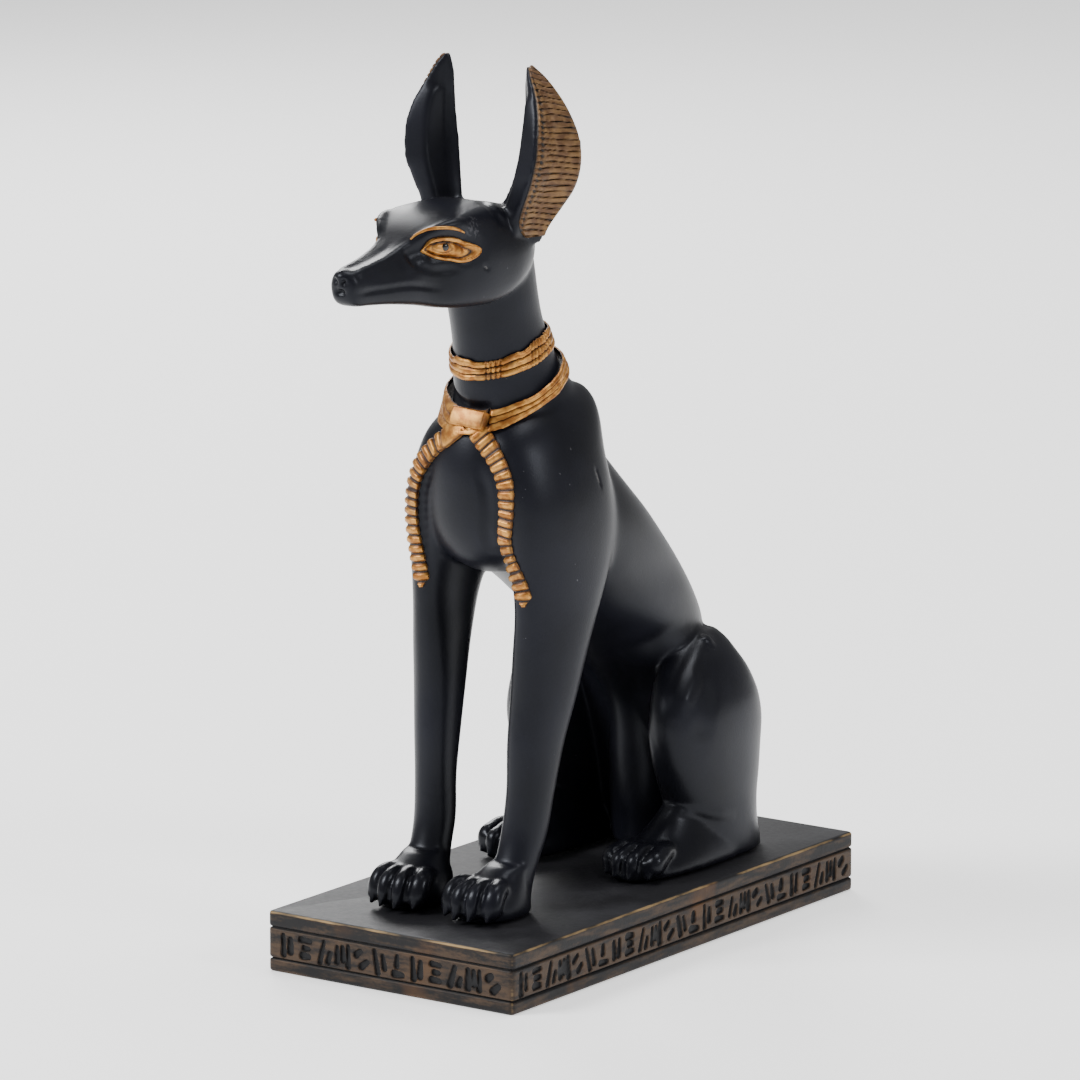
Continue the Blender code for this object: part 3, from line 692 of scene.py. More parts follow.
    scuffs: tuple[Stroke, ...] = (
        Stroke(((11.9, -47.3, 157.5), (12.1, -46.4, 156.9)), 0.45, 0, (Side.LEFT,)),
        Stroke(((18.9, -15.7, 109), (19.3, -15.4, 107.2), (19.6, -15, 105.6)), 0.45, 0,
               (Side.LEFT,)),
        Stroke(((18.6, -3.3, 89.3), (18.7, -3.2, 89)), 0.6, 0, (Side.LEFT,)),
        Stroke(((-14.1, -36.2, 57), (-14, -36.3, 56.7)), 0.6, 0, (Side.LEFT,)),
        Stroke(((-13.6, -36.6, 54.4), (-13.6, -36.7, 54)), 0.6, 0, (Side.LEFT,)),
    )
    pitted: Stroke = Stroke(((10, -51.7, 167.2), (10.9, -48, 165.6)), 3.6, 0, (Side.LEFT,))

    def forms(self) -> bpy.types.Mesh:
        """The overlapping closed forms of the figure.

        Returns:
            One mesh of many shells.
        """
        shells = Shells()
        for rows in (self.chest, self.barrel, self.seat):
            shells.egg_stack(rows)
        shells.oval_stack(self.neck)
        shells.tube(self.nose)
        shells.tube(self.tail)
        self._head(shells)
        for side in Side:
            s = side.value
            shells.oval_stack(self._sided(self.foreleg, s), self.leg_power)
            shells.oval_stack(self._sided(self.forepaw, s))
            shells.oval_stack(self._sided(self.haunch, s), self.haunch_power)
            shells.oval_stack(self._sided(self.hind_foot, s), self.foot_power)
            for paw in self.paws:
                for limb in paw.toes(s) + paw.claws(s):
                    shells.tube(limb)
            self._ear(shells, side)
        return shells.mesh("jackal_body")

    @staticmethod
    def _sided(rows: Sequence[Row], side: int) -> list[Row]:
        """Rows of level slices with their centre and slant on one side."""
        return [(z, side * cx, cy, half_x, half_y, side * slant)
                for z, cx, cy, half_x, half_y, slant in rows]

    def _head(self, shells: Shells) -> None:
        """Adds the head as slices across it, from the nose to the back of the skull.

        Args:
            shells: where it is added.
        """
        rings = []
        for y, top, flat, brow_x, brow_z, wide, wide_z, jaw, jaw_z, under in through(self.head):
            half = [(0, top), (flat, top - 0.1), (brow_x, brow_z), (wide, wide_z),
                    (jaw, jaw_z), (0, under)]
            mirrored = [(-x, z) for x, z in half[-2:0:-1]]
            rings.append([(x, y, z) for x, z in around(half + mirrored)])
        shells.shell(rings)

    def ear_rows(self, side: Side, steps: int = 6
                 ) -> list[tuple[float, np.ndarray, np.ndarray, np.ndarray]]:
        """Height, inner edge, rim and outer edge of an ear, from its base up.

        Args:
            side: which ear.
            steps: how many rows each span becomes.

        Returns:
            A height and three places in plan for each row, as on the left.
        """
        lift = self.far_ear_lift if side is Side.RIGHT else 0.0
        rows = []
        for z, inner_x, inner_y, rim_x, rim_y, outer_x, outer_y in through(self.ear, steps):
            rows.append((z + lift, np.array((inner_x, inner_y)), np.array((rim_x, rim_y)),
                         np.array((outer_x, outer_y))))
        return rows

    def _ear(self, shells: Shells, side: Side) -> None:
        """Adds an ear of three edges with a hollow face to the side.

        Args:
            shells: where it is added.
            side: which ear.
        """
        rings = []
        for z, inner, rim, outer in self.ear_rows(side):
            rim, outer = (rim + self.ear_rim_roll * (rim - outer),
                          outer + self.ear_edge_roll * (outer - rim))
            middle = 0.5 * (rim + outer)
            hollow = middle + self.ear_hollow * (inner - middle)
            slope = inner - rim
            rise = self.ear_ridge if z < self.ear_tip_from else self.ear_tip_ridge
            ahead = np.array((-slope[1], slope[0])) * rise
            ridge = rim + self.ear_ridge_place * slope + ahead
            valley = rim + self.ear_valley_place * slope - self.ear_valley * ahead
            base = 0.5 * (inner + outer)
            back = base + self.ear_back * (base - rim)
            section = (inner, valley, ridge, rim, hollow, outer, back)
            rings.append([(side.value * x, y, z) for x, y in section])
        shells.shell(rings)

    def build(self) -> tuple[bpy.types.Object, BVHTree]:
        """Melts the forms into one surface and carves it.

        Returns:
            The body, and its surface for the gold work to be laid on.
        """
        body = Modeller.add("jackal_body", self.forms())
        Modeller.modify(body, "REMESH", mode="VOXEL", voxel_size=self.voxel * PLAN.unit)
        Modeller.relax(body, self.blend_passes)
        self._soften(body)
        tree = self._surface(body)
        points = Modeller.points(body)
        normals = Modeller.normals(body)
        for stroke in self.carving + self.paws[0].grooves() + self.paws[1].grooves():
            points = stroke.press(points, normals, tree)
        self._place(body, points)
        Modeller.relax(body, self.carved_passes)
        self._place(body, Modeller.points(body))
        Modeller.thin(body, self.faces_kept)
        Modeller.smooth(body)
        points = Modeller.points(body)
        low = (points[:, 2] - PLAN.lift) / PLAN.unit
        Modeller.mark(body, "gloss", 1.0 - soft_step(*self.gloss_fall, low))
        tree = self._surface(body)
        scuffed = np.max([scuff.share(points, tree) for scuff in self.scuffs], axis=0)
        Modeller.mark(body, "scuffed", scuffed)
        Modeller.mark(body, "pitted", self.pitted.share(points, tree))
        return body, tree

    @staticmethod
    def _place(body: bpy.types.Object, points: np.ndarray) -> None:
        """Moves the body's points, and keeps all of them on or above the plinth."""
        points[:, 2] = np.maximum(points[:, 2], PLAN.lift)
        Modeller.set_points(body, points)

    def _soften(self, body: bpy.types.Object) -> None:
        """Rounds the torso's seams far more than those of the paws, the head and the haunches.

        Args:
            body: the figure.
        """
        points = Modeller.points(body)
        y, z = points[:, 1] / PLAN.unit, (points[:, 2] - PLAN.lift) / PLAN.unit + PLAN.foot_level
        high = soft_step(*self.soft_from, z)
        behind = soft_step(*self.soft_behind, y) * soft_step(*self.soft_behind_from, z)
        weights = np.maximum(high, behind) * (1.0 - soft_step(*self.soft_to, z))
        group = body.vertex_groups.new(name="torso")
        for level in range(1, self.soft_levels + 1):
            chosen = np.where(np.round(weights * self.soft_levels) == level)[0]
            group.add(chosen.tolist(), level / self.soft_levels, "REPLACE")
        Modeller.relax(body, self.torso_passes, vertex_group="torso")
        body.vertex_groups.clear()

    @staticmethod
    def _surface(obj: bpy.types.Object) -> BVHTree:
        """The surface of an object, for laying other pieces on it.

        Args:
            obj: a mesh object.

        Returns:
            Its faces as a search tree.
        """
        bm = bmesh.new()
        bm.from_mesh(obj.data)
        tree = BVHTree.FromBMesh(bm)
        bm.free()
        return tree


def ripple(seed: int, count: int, share: float) -> np.ndarray:
    """Smooth unevenness of hand work: numbers about 0 that drift along a run.

    Args:
        seed: fixes the drift.
        count: how many numbers.
        share: how much of the last number each keeps.

    Returns:
        Numbers mostly between -1 and 1.
    """
    source = np.random.default_rng(seed).normal(size=count)
    out = np.empty(count)
    value = 0.0
    for i, step in enumerate(source):
        value = share * value + (1.0 - share) * step
        out[i] = value
    return out / max(float(np.abs(out).max()), 1e-6)


@dataclass(frozen=True)
class Band:
    """Sizes of a band round the neck, in drawn millimetres and degrees from the left side.

    Lumps give the middle, half width and height of rises on the upper edge. Nicks give the
    middle, half width and depth of upright cuts, and flares where the band stands off the neck.
    A row of a lip gives a share of the band's height, a step off its face and the painted shade
    there.
    """

    centre: Point
    slope: float
    height: float
    proud: float
    rails: int
    seed: int
    lumps: tuple[Row, ...] = ()
    nicks: tuple[Row, ...] = ()
    flares: tuple[Row, ...] = ()
    inside: float = -1.5
    rail_margin: float = 0.06
    rail_crown: float = 0.12
    # painted shade on each rail's upper edge, next to the groove
    rail_shade: float = 0.15
    groove_sink: float = 0.6
    # the lips are painted darker under the band and black on its top face, as shade in the gap to
    # the neck
    lower_lip: tuple[Row, ...] = ((-0.5, -0.35, 0.5), (-0.46, -0.1, 0.1))
    upper_lip: tuple[Row, ...] = ((0.46, -0.1, 0.1), (0.5, -0.25, 0.3), (0.5, -0.45, 1),
                                  (0.2, -0.7, 1))

    def profile(self) -> list[Row]:
        """The band's section: share of the height, distance from the neck, and painted shade.

        Returns:
            The section's points, in order round it.
        """
        out = [(-0.5, self.inside, 0.0)]
        out += [(rise, self.proud + step, shade_and_dirt) for rise, step, shade_and_dirt in self.lower_lip]
        for rail in range(self.rails):
            low = -0.5 + rail / self.rails
            high = low + 1 / self.rails
            out += [(low + self.rail_margin, self.proud, 0.0),
                    (0.5 * (low + high), self.proud + self.rail_crown, 0.0),
                    (high - self.rail_margin, self.proud, self.rail_shade)]
            if rail < self.rails - 1:
                # the groove between two rails is painted black as shade
                out.append((high, self.proud - self.groove_sink, 1.0))
        out += [(rise, self.proud + step, shade_and_dirt) for rise, step, shade_and_dirt in self.upper_lip]
        out.append((0.05, self.inside, 1.0))
        return out

    def flare(self, degrees: float) -> float:
        """How much further the band stands off the neck at a turn."""
        return self._sum(self.flares, degrees, 2)

    def lump(self, degrees: float) -> float:
        """How much higher the upper edge is at a turn."""
        return self._sum(self.lumps, degrees, 6)

    def nick(self, degrees: float) -> float:
        """How deep an upright cut is at a turn."""
        return self._sum(self.nicks, degrees, 2)

    @staticmethod
    def _sum(rows: Sequence[Row], degrees: float, power: int) -> float:
        """The sum of round-topped rises.

        Args:
            rows: middle, half width and height of each rise.
            degrees: the turn.
            power: 2 for a bell, more for a flatter top.

        Returns:
            The sum at the turn.
        """
        total = 0.0
        for middle, half, height in rows:
            gap = (degrees - middle + 180.0) % 360.0 - 180.0
            total += height * math.exp(-abs(gap / half) ** power)
        return total


UPPER_BAND = Band((0.0, -24.5, 135.6), 0.30, 4.3, 0.9, 3, 3,
                  lumps=((262.0, 13.0, 1.1), (6.0, 27.0, 1.3), (318.0, 9.0, 0.4)),
                  nicks=tuple((turn, 1.3, 0.5) for turn in
                              (289, 294, 299, 304, 343, 348, 354, 0, 6, 13, 20)))
COLLAR = Band((0.0, -22.0, 127.6), 0.42, 3.5, 1.6, 3, 17, nicks=((287.5, 1.6, 1.5),),
              flares=((214.0, 34.0, 0.7),))


@dataclass(frozen=True)
class RibbonCut:
    """Sizes of a ribbed ribbon. Its section gives places across it and their heights."""

    width: float = 4.1
    proud: float = 1.0
    ground: float = 0.12
    root: float = 0.9
    rib: float = 2.1
    groove: float = 0.55
    groove_power: float = 2.2
    taper: float = 0.22
    tip: float = 0.62
    tip_from: float = 0.95
    wave: float = 0.05
    rib_drift: float = 0.12
    # painted shade along the ribbon's low edges, where it meets the chest
    edge_shade: float = 0.75
    low_edge: float = 0.55
    steps: int = 32
    section: tuple[Span, ...] = ((-1, 0.55), (-0.86, 0.95), (-0.5, 1), (0, 1.05), (0.5, 1),
                                 (0.86, 0.95), (1, 0.55))

    def half(self, share: float) -> float:
        """Half the width at a share of the way down, before the hand's unevenness."""
        tip = self.tip * eased(self.tip_from, 1.0, share)
        return 0.5 * self.width * (1.0 - self.taper * share - tip)


@dataclass(frozen=True)
class EarCut:
    """Sizes of the gold in an ear: shares across it run from the rim to the outer edge."""

    rib: float = 1.25
    rib_slant: float = 1.2
    rib_drift: float = 0.25
    rib_sway: float = 0.10
    rib_height: float = 0.14
    rib_depth: float = 0.42
    columns: int = 40
    steps: int = 18
    skipped: int = 8
    thick: float = 0.42
    thin: float = 0.12
    least: float = 0.08
    root: float = 0.5
    foot: float = 5.0
    foot_cut: float = 0.4
    full_width: float = 5.0
    valley: float = 0.19
    valley_half: float = 0.06
    valley_depth: float = 0.12
    notch_depth: float = 0.42
    valley_edges: Span = (0.12, 0.27)
    edge_share: float = 0.06
    off_ground: Span = (0.88, 0.98)
    # painted shade along the rim, where the lining meets the ear's black front
    rim_shade: Span = (0.03, 0.075)


@dataclass(frozen=True)
class EyeCut:
    """Sizes of an eye: shares run along it from its front corner, and across it from -1 to 1.

    Ball, ring and iris each give the middle and half size along, then across.
    """

    columns: int = 48
    rows: int = 24
    ball: Row = (0.40, 0.25, 0.12, 0.62)
    ring: Row = (0.43, 0.32, 0.06, 0.68)
    iris: Row = (0.36, 0.13, 0.25, 0.5)
    ring_width: float = 0.11
    iris_width: float = 0.16
    iris_depth: float = 0.7
    base: float = 0.35
    ball_rise: float = 0.8
    lid: Span = (0.86, 0.12)
    lid_rise: float = 0.35
    crease: float = 0.35
    corner_rise: float = 6.0
    corner_base: float = 0.3
    root: float = 0.8
    # painted shade round the eye's edge
    edge_shade: float = 0.4
    far_forward: float = 1.9
    far_swell: float = 0.5
    brow_lift: float = 0.15
    far_brow_start: int = 4
    pupil: Span = (-56.5, 162.5)
    pupil_radius: float = 0.85
    pupil_squash: float = 0.55
    pupil_lift: float = 1.0

    @staticmethod
    def offset(oval: Row, along: float, across: float) -> Span:
        """A place on the eye in half sizes from an oval's middle."""
        middle, half, high, half_high = oval
        return (along - middle) / half, (across - high) / half_high


@dataclass
class GoldWork:
    """The gold pieces that stand on the figure: bands, clasp, ribbons, eyes and ear linings.

    Rows of the eye's outline give y, the middle z and half the height, and those of the brow
    give y, z and radius. The clasp's size is its width, depth and height, turned in degrees.
    """

    jackal: Jackal
    tree: BVHTree
    steps_round: int = 288
    edge_wave: float = 0.05
    height_wave: float = 0.04
    proud_wave: float = 0.06
    wave_lag: int = 7
    ribbon: RibbonCut = RibbonCut()
    ear: EarCut = EarCut()
    eye_cut: EyeCut = EyeCut()
    clasp_place: Point = (0.7, -37.7, 121.7)
    clasp_size: Point = (8.6, 2.6, 4.2)
    clasp_turn: Point = (-26, 4, 2)
    clasp_bevel: float = 0.45
    # the whole clasp is made evenly darker and browner
    clasp_darkening: float = 0.25
    eye_outline: tuple[Row, ...] = (
        (-61.7, 162.9, 0.12), (-60.9, 163, 1), (-60, 163, 1.7), (-58.5, 162.4, 2.25),
        (-57, 161.8, 2.5), (-55.5, 161.3, 2.55), (-54, 160.6, 2.65), (-52.4, 159.9, 2.5),
        (-50.9, 159.4, 2.1), (-49.4, 159.1, 1.3), (-48.5, 159, 0.6), (-48, 158.9, 0.12))
    brow_line: tuple[Row, ...] = (
        (-63.5, 166.2, 0.15), (-62.2, 166.8, 0.28), (-61, 167, 0.34), (-59.9, 166.8, 0.36),
        (-58.2, 166.2, 0.36), (-56.3, 165.5, 0.36), (-54.4, 164.7, 0.3), (-52.8, 163.8, 0.15))
    ribbon_paths: dict[Side, tuple[Span, ...]] = field(default_factory=lambda: {
        Side.LEFT: ((1.8, 121), (4, 118.4), (7.2, 115.2), (9.7, 111.5), (11, 107.8),
                    (11.2, 103.4), (10.7, 99.2), (10.2, 95.6), (11, 92), (12.6, 88.6),
                    (13.9, 85.2), (14.5, 81.8)),
        Side.RIGHT: ((-0.6, 120.4), (-3.8, 117.6), (-7, 115.4), (-9.9, 112.6), (-12.3, 109.4),
                     (-13.7, 106), (-14.3, 102.4), (-14.5, 98.6), (-14.2, 94.4), (-13.7, 90.4),
                     (-13.1, 86.4), (-12.7, 82.9)),
    })
    ribbon_starts: dict[Side, Span] = field(default_factory=lambda: {
        Side.LEFT: (0, 0.03), Side.RIGHT: (0.10, 0.16)})
    ear_reach: dict[Side, Span] = field(default_factory=lambda: {
        Side.LEFT: (0.03, 1), Side.RIGHT: (0.26, 0.80)})

    def band(self, name: str, shape: Band) -> bpy.types.Object:
        """A band round the neck, with raised rails between grooves painted dark as shade.

        Args:
            name: the piece's name.
            shape: the band's sizes.

        Returns:
            The band.
        """
        profile = shape.profile()
        edge = ripple(shape.seed, self.steps_round, 0.9)
        drift = ripple(shape.seed + 1, self.steps_round, 0.94)
        seam = np.cos(np.linspace(0, math.tau, self.steps_round, endpoint=False)) * 0.5 + 0.5
        rings, painted_shade = [], []
        for k in range(self.steps_round):
            turn = math.tau * k / self.steps_round
            way = Vector((math.cos(turn), math.sin(turn), shape.slope * math.sin(turn)))
            lump, nick = shape.lump(math.degrees(turn)), shape.nick(math.degrees(turn))
            flare = shape.flare(math.degrees(turn))
            ring = []
            for rise, out, shade_and_dirt in profile:
                wobble = (self.edge_wave * edge[k] * seam[k] * math.copysign(1.0, rise)
                          + self.height_wave * drift[k])
                raised = rise * shape.height + max(0.0, rise + 0.1) * lump
                x, y, z = shape.centre
                middle = PLAN.at(x, y, z + raised + wobble * shape.height)
                hit = self.tree.ray_cast(middle, way)[0]
                cut = nick - flare if out > 0.0 else 0.0
                off = out - cut + self.proud_wave * edge[k - self.wave_lag]
                ring.append(hit + way.normalized() * off * PLAN.unit)
                # painted shade from the profile, made darker in the upright cuts
                painted_shade.append(min(1.0, shade_and_dirt + nick))
            rings.append(ring)
        return self._shell_piece(name, rings, painted_shade, closed=True)

    def lappet(self, side: Side) -> bpy.types.Object:
        """A ribbed ribbon that falls from the clasp down the chest.

        Args:
            side: which ribbon.

        Returns:
            The ribbon.
        """
        cut = self.ribbon
        path = through(self.ribbon_paths[side], cut.steps)
        wobble = ripple(11 + side.value, len(path), 0.95)
        run, rings, painted_shade = 0.0, [], []
        for i, (x, z) in enumerate(path):
            ahead = path[min(i + 1, len(path) - 1)] - path[max(i - 1, 0)]
            across = Vector((-ahead[1], 0.0, ahead[0])).normalized()
            if i:
                run += float(np.linalg.norm(path[i] - path[i - 1]))
            share = i / (len(path) - 1)
            phase = run / cut.rib + cut.rib_drift * wobble[i]
            groove = (0.5 + 0.5 * math.cos(math.tau * phase)) ** cut.groove_power
            groove *= eased(*self.ribbon_starts[side], share)
            half = cut.half(share) * (1.0 + cut.wave * wobble[i] - cut.wave * groove)
            outer, inner = [], []
            for place, height in cut.section:
                spot = Vector((x + half * place * across.x, -70.0, z + half * place * across.z))
                hit, normal, _, _ = self.tree.ray_cast(PLAN.at(*spot), Vector((0, 1, 0)))
                off = cut.proud * height + cut.ground - cut.groove * groove
                outer.append(hit + normal * off * PLAN.unit)
                inner.append(hit - normal * cut.root * PLAN.unit)
                # painted shade in the rib grooves and along the low edges
                edge = cut.edge_shade * (1.0 - height) / (1.0 - cut.low_edge)
                painted_shade.append(max(groove, edge))
            rings.append(outer + inner[::-1])
            painted_shade += [0.0] * len(inner)
        return self._shell_piece(f"lappet_{side.name.lower()}", rings, painted_shade)

    def ear_lining(self, side: Side) -> bpy.types.Object:
        """The gold hollow of an ear: a notched valley along the rim and ribs out to the edge.

        Args:
            side: which ear.

        Returns:
            The lining.
        """
        cut = self.ear
        rows = self.jackal.ear_rows(side, cut.steps)[cut.skipped:]
        reach_from, reach_to = self.ear_reach[side]
        wobble = ripple(31 + side.value, len(rows), 0.9)
        rings, painted_shade = [], []
        for i, (z, inner, rim, outer) in enumerate(rows):
            chord = outer - rim
            width = float(np.linalg.norm(chord))
            sink = self.jackal.ear_hollow * (inner - 0.5 * (rim + outer))
            normal = np.array((chord[1], -chord[0])) / max(width, 1e-6)
            out_way = Vector((side.value * normal[0], normal[1], 0.0))
            size = min(1.0, width / cut.full_width)
            first = reach_from + cut.foot_cut * max(0.0, 1.0 - (z - rows[0][0]) / cut.foot) ** 2
            front, back = [], []
            for column in range(cut.columns + 1):
                u = first + (reach_to - first) * column / cut.columns
                place = rim + chord * u + sink * (1.0 - abs(2.0 * u - 1.0))
                nominal = PLAN.at(side.value * place[0], place[1], z)
                ground = self.tree.find_nearest(nominal)[0].lerp(nominal, eased(*cut.off_ground, u))
                valley = hill(u, cut.valley, cut.valley_half)
                ribbed = abs(2.0 * eased(*cut.valley_edges, u) - 1.0)
                phase = ((z + cut.rib_slant * (u - 0.3)) / cut.rib + cut.rib_drift * wobble[i]
                         + cut.rib_sway * math.sin(7.0 * u + 0.5 * z))
                groove = max(0.0, math.cos(math.tau * phase)) ** 4
                lean = math.tau * phase + 0.9 + 10.0 * (u - cut.valley)
                notch = (0.5 + 0.5 * math.cos(lean)) ** 0.7
                edge = eased(0.0, cut.edge_share, min(column, cut.columns - column) / cut.columns)
                ribs = ribbed * (cut.rib_height - cut.rib_depth * groove) * size
                lift = cut.thin + edge * (cut.thick + ribs)
                lift -= valley * (cut.valley_depth + cut.notch_depth * notch) * size
                front.append(ground + out_way * max(lift, cut.least) * PLAN.unit)
                back.append(ground - out_way * cut.root * PLAN.unit)
                # painted shade in the notched valley, the rib grooves and along the rim
                rim_shade = 1.0 - eased(*cut.rim_shade, u)
                painted_shade.append(max(valley * notch * 1.2, 0.9 * ribbed * groove, rim_shade))
            painted_shade += [0.0] * len(back)
            rings.append(front + back[::-1])
        return self._shell_piece(f"ear_lining_{side.name.lower()}", rings, painted_shade)

    def _shell_piece(self, name: str, rings: Sequence[Sequence[Vector]], painted_shade: Sequence[float],
                     closed: bool = False) -> bpy.types.Object:
        """A piece through rings of places, with its painted shade stored a point at a time.

        Args:
            name: the piece's name.
            rings: rings of one length.
            painted_shade: how much painted shade each point has, from 0 to 1.
            closed: whether the last ring joins the first.

        Returns:
            The piece.
        """
        shells = Shells()
        shells.shell_at(rings, closed)
        piece = Modeller.add(name, shells.mesh(name))
        Modeller.mark(piece, "painted_shade", np.array(painted_shade))
        Modeller.smooth(piece, 50.0)
        return piece

    def clasp(self) -> bpy.types.Object:
        """The plain block that closes the collar in front.

        Returns:
            The clasp.
        """
        bpy.ops.object.select_all(action="DESELECT")
        bpy.ops.mesh.primitive_cube_add(size=1.0, location=PLAN.at(*self.clasp_place))
        piece = bpy.context.active_object
        piece.name = piece.data.name = "clasp"
        piece.scale = [size * PLAN.unit for size in self.clasp_size]
        piece.rotation_euler = [math.radians(turn) for turn in self.clasp_turn]
        bpy.ops.object.transform_apply(location=True, rotation=True, scale=True)
        Modeller.modify(piece, "BEVEL", width=self.clasp_bevel * PLAN.unit, segments=3)
        Modeller.smooth(piece, 40.0)
        # the same darker, browner share of the gold over the whole clasp
        Modeller.mark(piece, "painted_shade", np.full(len(piece.data.vertices), self.clasp_darkening))
        return piece

    def eye(self, side: Side) -> list[bpy.types.Object]:
        """The gold almond eye with its lids, the pupil and the thin brow line."""
        return [self._almond(side), self._pupil(side), self._brow(side)]

    def _almond(self, side: Side) -> bpy.types.Object:
        """The eye's gold: two lids round a ball with a ring and an iris pressed in.

        Args:
            side: which eye.

        Returns:
            The eye's gold.
        """
        cut = self.eye_cut
        far = side is Side.RIGHT
        forward, swell = (cut.far_forward, cut.far_swell) if far else (0.0, 0.0)
        outline = through(self.eye_outline, 8)
        spots = np.linspace(0, 1, len(outline))
        rings, painted_shade = [], []
        for i in range(cut.columns + 1):
            share = i / cut.columns
            y, middle, half = (float(np.interp(share, spots, outline[:, c])) for c in range(3))
            front, back = [], []
            for j in range(cut.rows + 1):
                across = 2.0 * j / cut.rows - 1.0
                along, up = cut.offset(cut.ball, share, across)
                ball = max(0.0, 1.0 - along ** 2 - up ** 2)
                lid = hill(abs(across), *cut.lid)
                ring = math.hypot(*cut.offset(cut.ring, share, across))
                iris = hill(math.hypot(*cut.offset(cut.iris, share, across)), 1.0, cut.iris_width)
                crease = min(1.0, hill(ring, 1.0, cut.ring_width) + cut.iris_depth * iris)
                lift = (cut.base + (cut.ball_rise + swell) * math.sqrt(ball) + cut.lid_rise * lid
                        - cut.crease * crease)
                lift *= min(1.0, cut.corner_rise * share + cut.corner_base,
                            cut.corner_rise * (1.0 - share) + cut.corner_base)
                hit, normal = self._on_head(side.value, y - forward, middle + half * across)
                front.append(hit + normal * lift * PLAN.unit)
                back.append(hit - normal * cut.root * PLAN.unit)
                # painted shade in the crease round the ball, round the iris and along the edge
                painted_shade.append(min(1.0, crease + (cut.edge_shade if abs(across) > 0.97 else 0.0)))
            painted_shade += [0.0] * len(back)
            rings.append(front + back[::-1])
        return self._shell_piece(f"eye_{side.name.lower()}", rings, painted_shade)

    def _brow(self, side: Side) -> bpy.types.Object:
        """The thin gold line over an eye.

        Args:
            side: which brow.

        Returns:
            The line.
        """
        cut = self.eye_cut
        line = []
        for y, z, radius in self.brow_line[cut.far_brow_start if side is Side.RIGHT else 0:]:
            hit, normal = self._on_head(side.value, y, z)
            line.append((*PLAN.back(hit + normal * cut.brow_lift * PLAN.unit), radius))
        shells = Shells()
        shells.tube(line)
        brow = Modeller.add(f"brow_{side.name.lower()}", shells.mesh("brow"))
        Modeller.mark(brow, "painted_shade", np.zeros(len(brow.data.vertices)))
        Modeller.smooth(brow)
        return brow

    def _pupil(self, side: Side) -> bpy.types.Object:
        """A small dark dome on the eye.

        Args:
            side: which eye.

        Returns:
            The pupil.
        """
        cut = self.eye_cut
        hit, normal = self._on_head(side.value, *cut.pupil)
        bpy.ops.object.select_all(action="DESELECT")
        bpy.ops.mesh.primitive_uv_sphere_add(segments=24, ring_count=12,
                                             radius=cut.pupil_radius * PLAN.unit)
        pupil = bpy.context.active_object
        pupil.name = f"pupil_{side.name.lower()}"
        pupil.data.name = pupil.name
        place = Matrix.Translation(hit + normal * cut.pupil_lift * PLAN.unit)
        turn = normal.to_track_quat("Z", "Y").to_matrix().to_4x4()
        pupil.matrix_world = place @ turn @ Matrix.Diagonal((1.0, 1.0, cut.pupil_squash, 1.0))
        bpy.ops.object.transform_apply(location=True, rotation=True, scale=True)
        Modeller.smooth(pupil)
        return pupil

    def _on_head(self, side: int, y: float, z: float) -> tuple[Vector, Vector]:
        """The place and normal of the head's side near y and z.

        Args:
            side: 1 for the left, -1 for the right.
            y: the drawing's y.
            z: the drawing's height.

        Returns:
            The place and the normal there.
        """
        way = Vector((-side, 0.0, -0.5)).normalized()
        start = PLAN.at(side * 7.0, y, z) - way * 30.0 * PLAN.unit
        hit, normal, _, _ = self.tree.ray_cast(start, way)
        return hit, normal


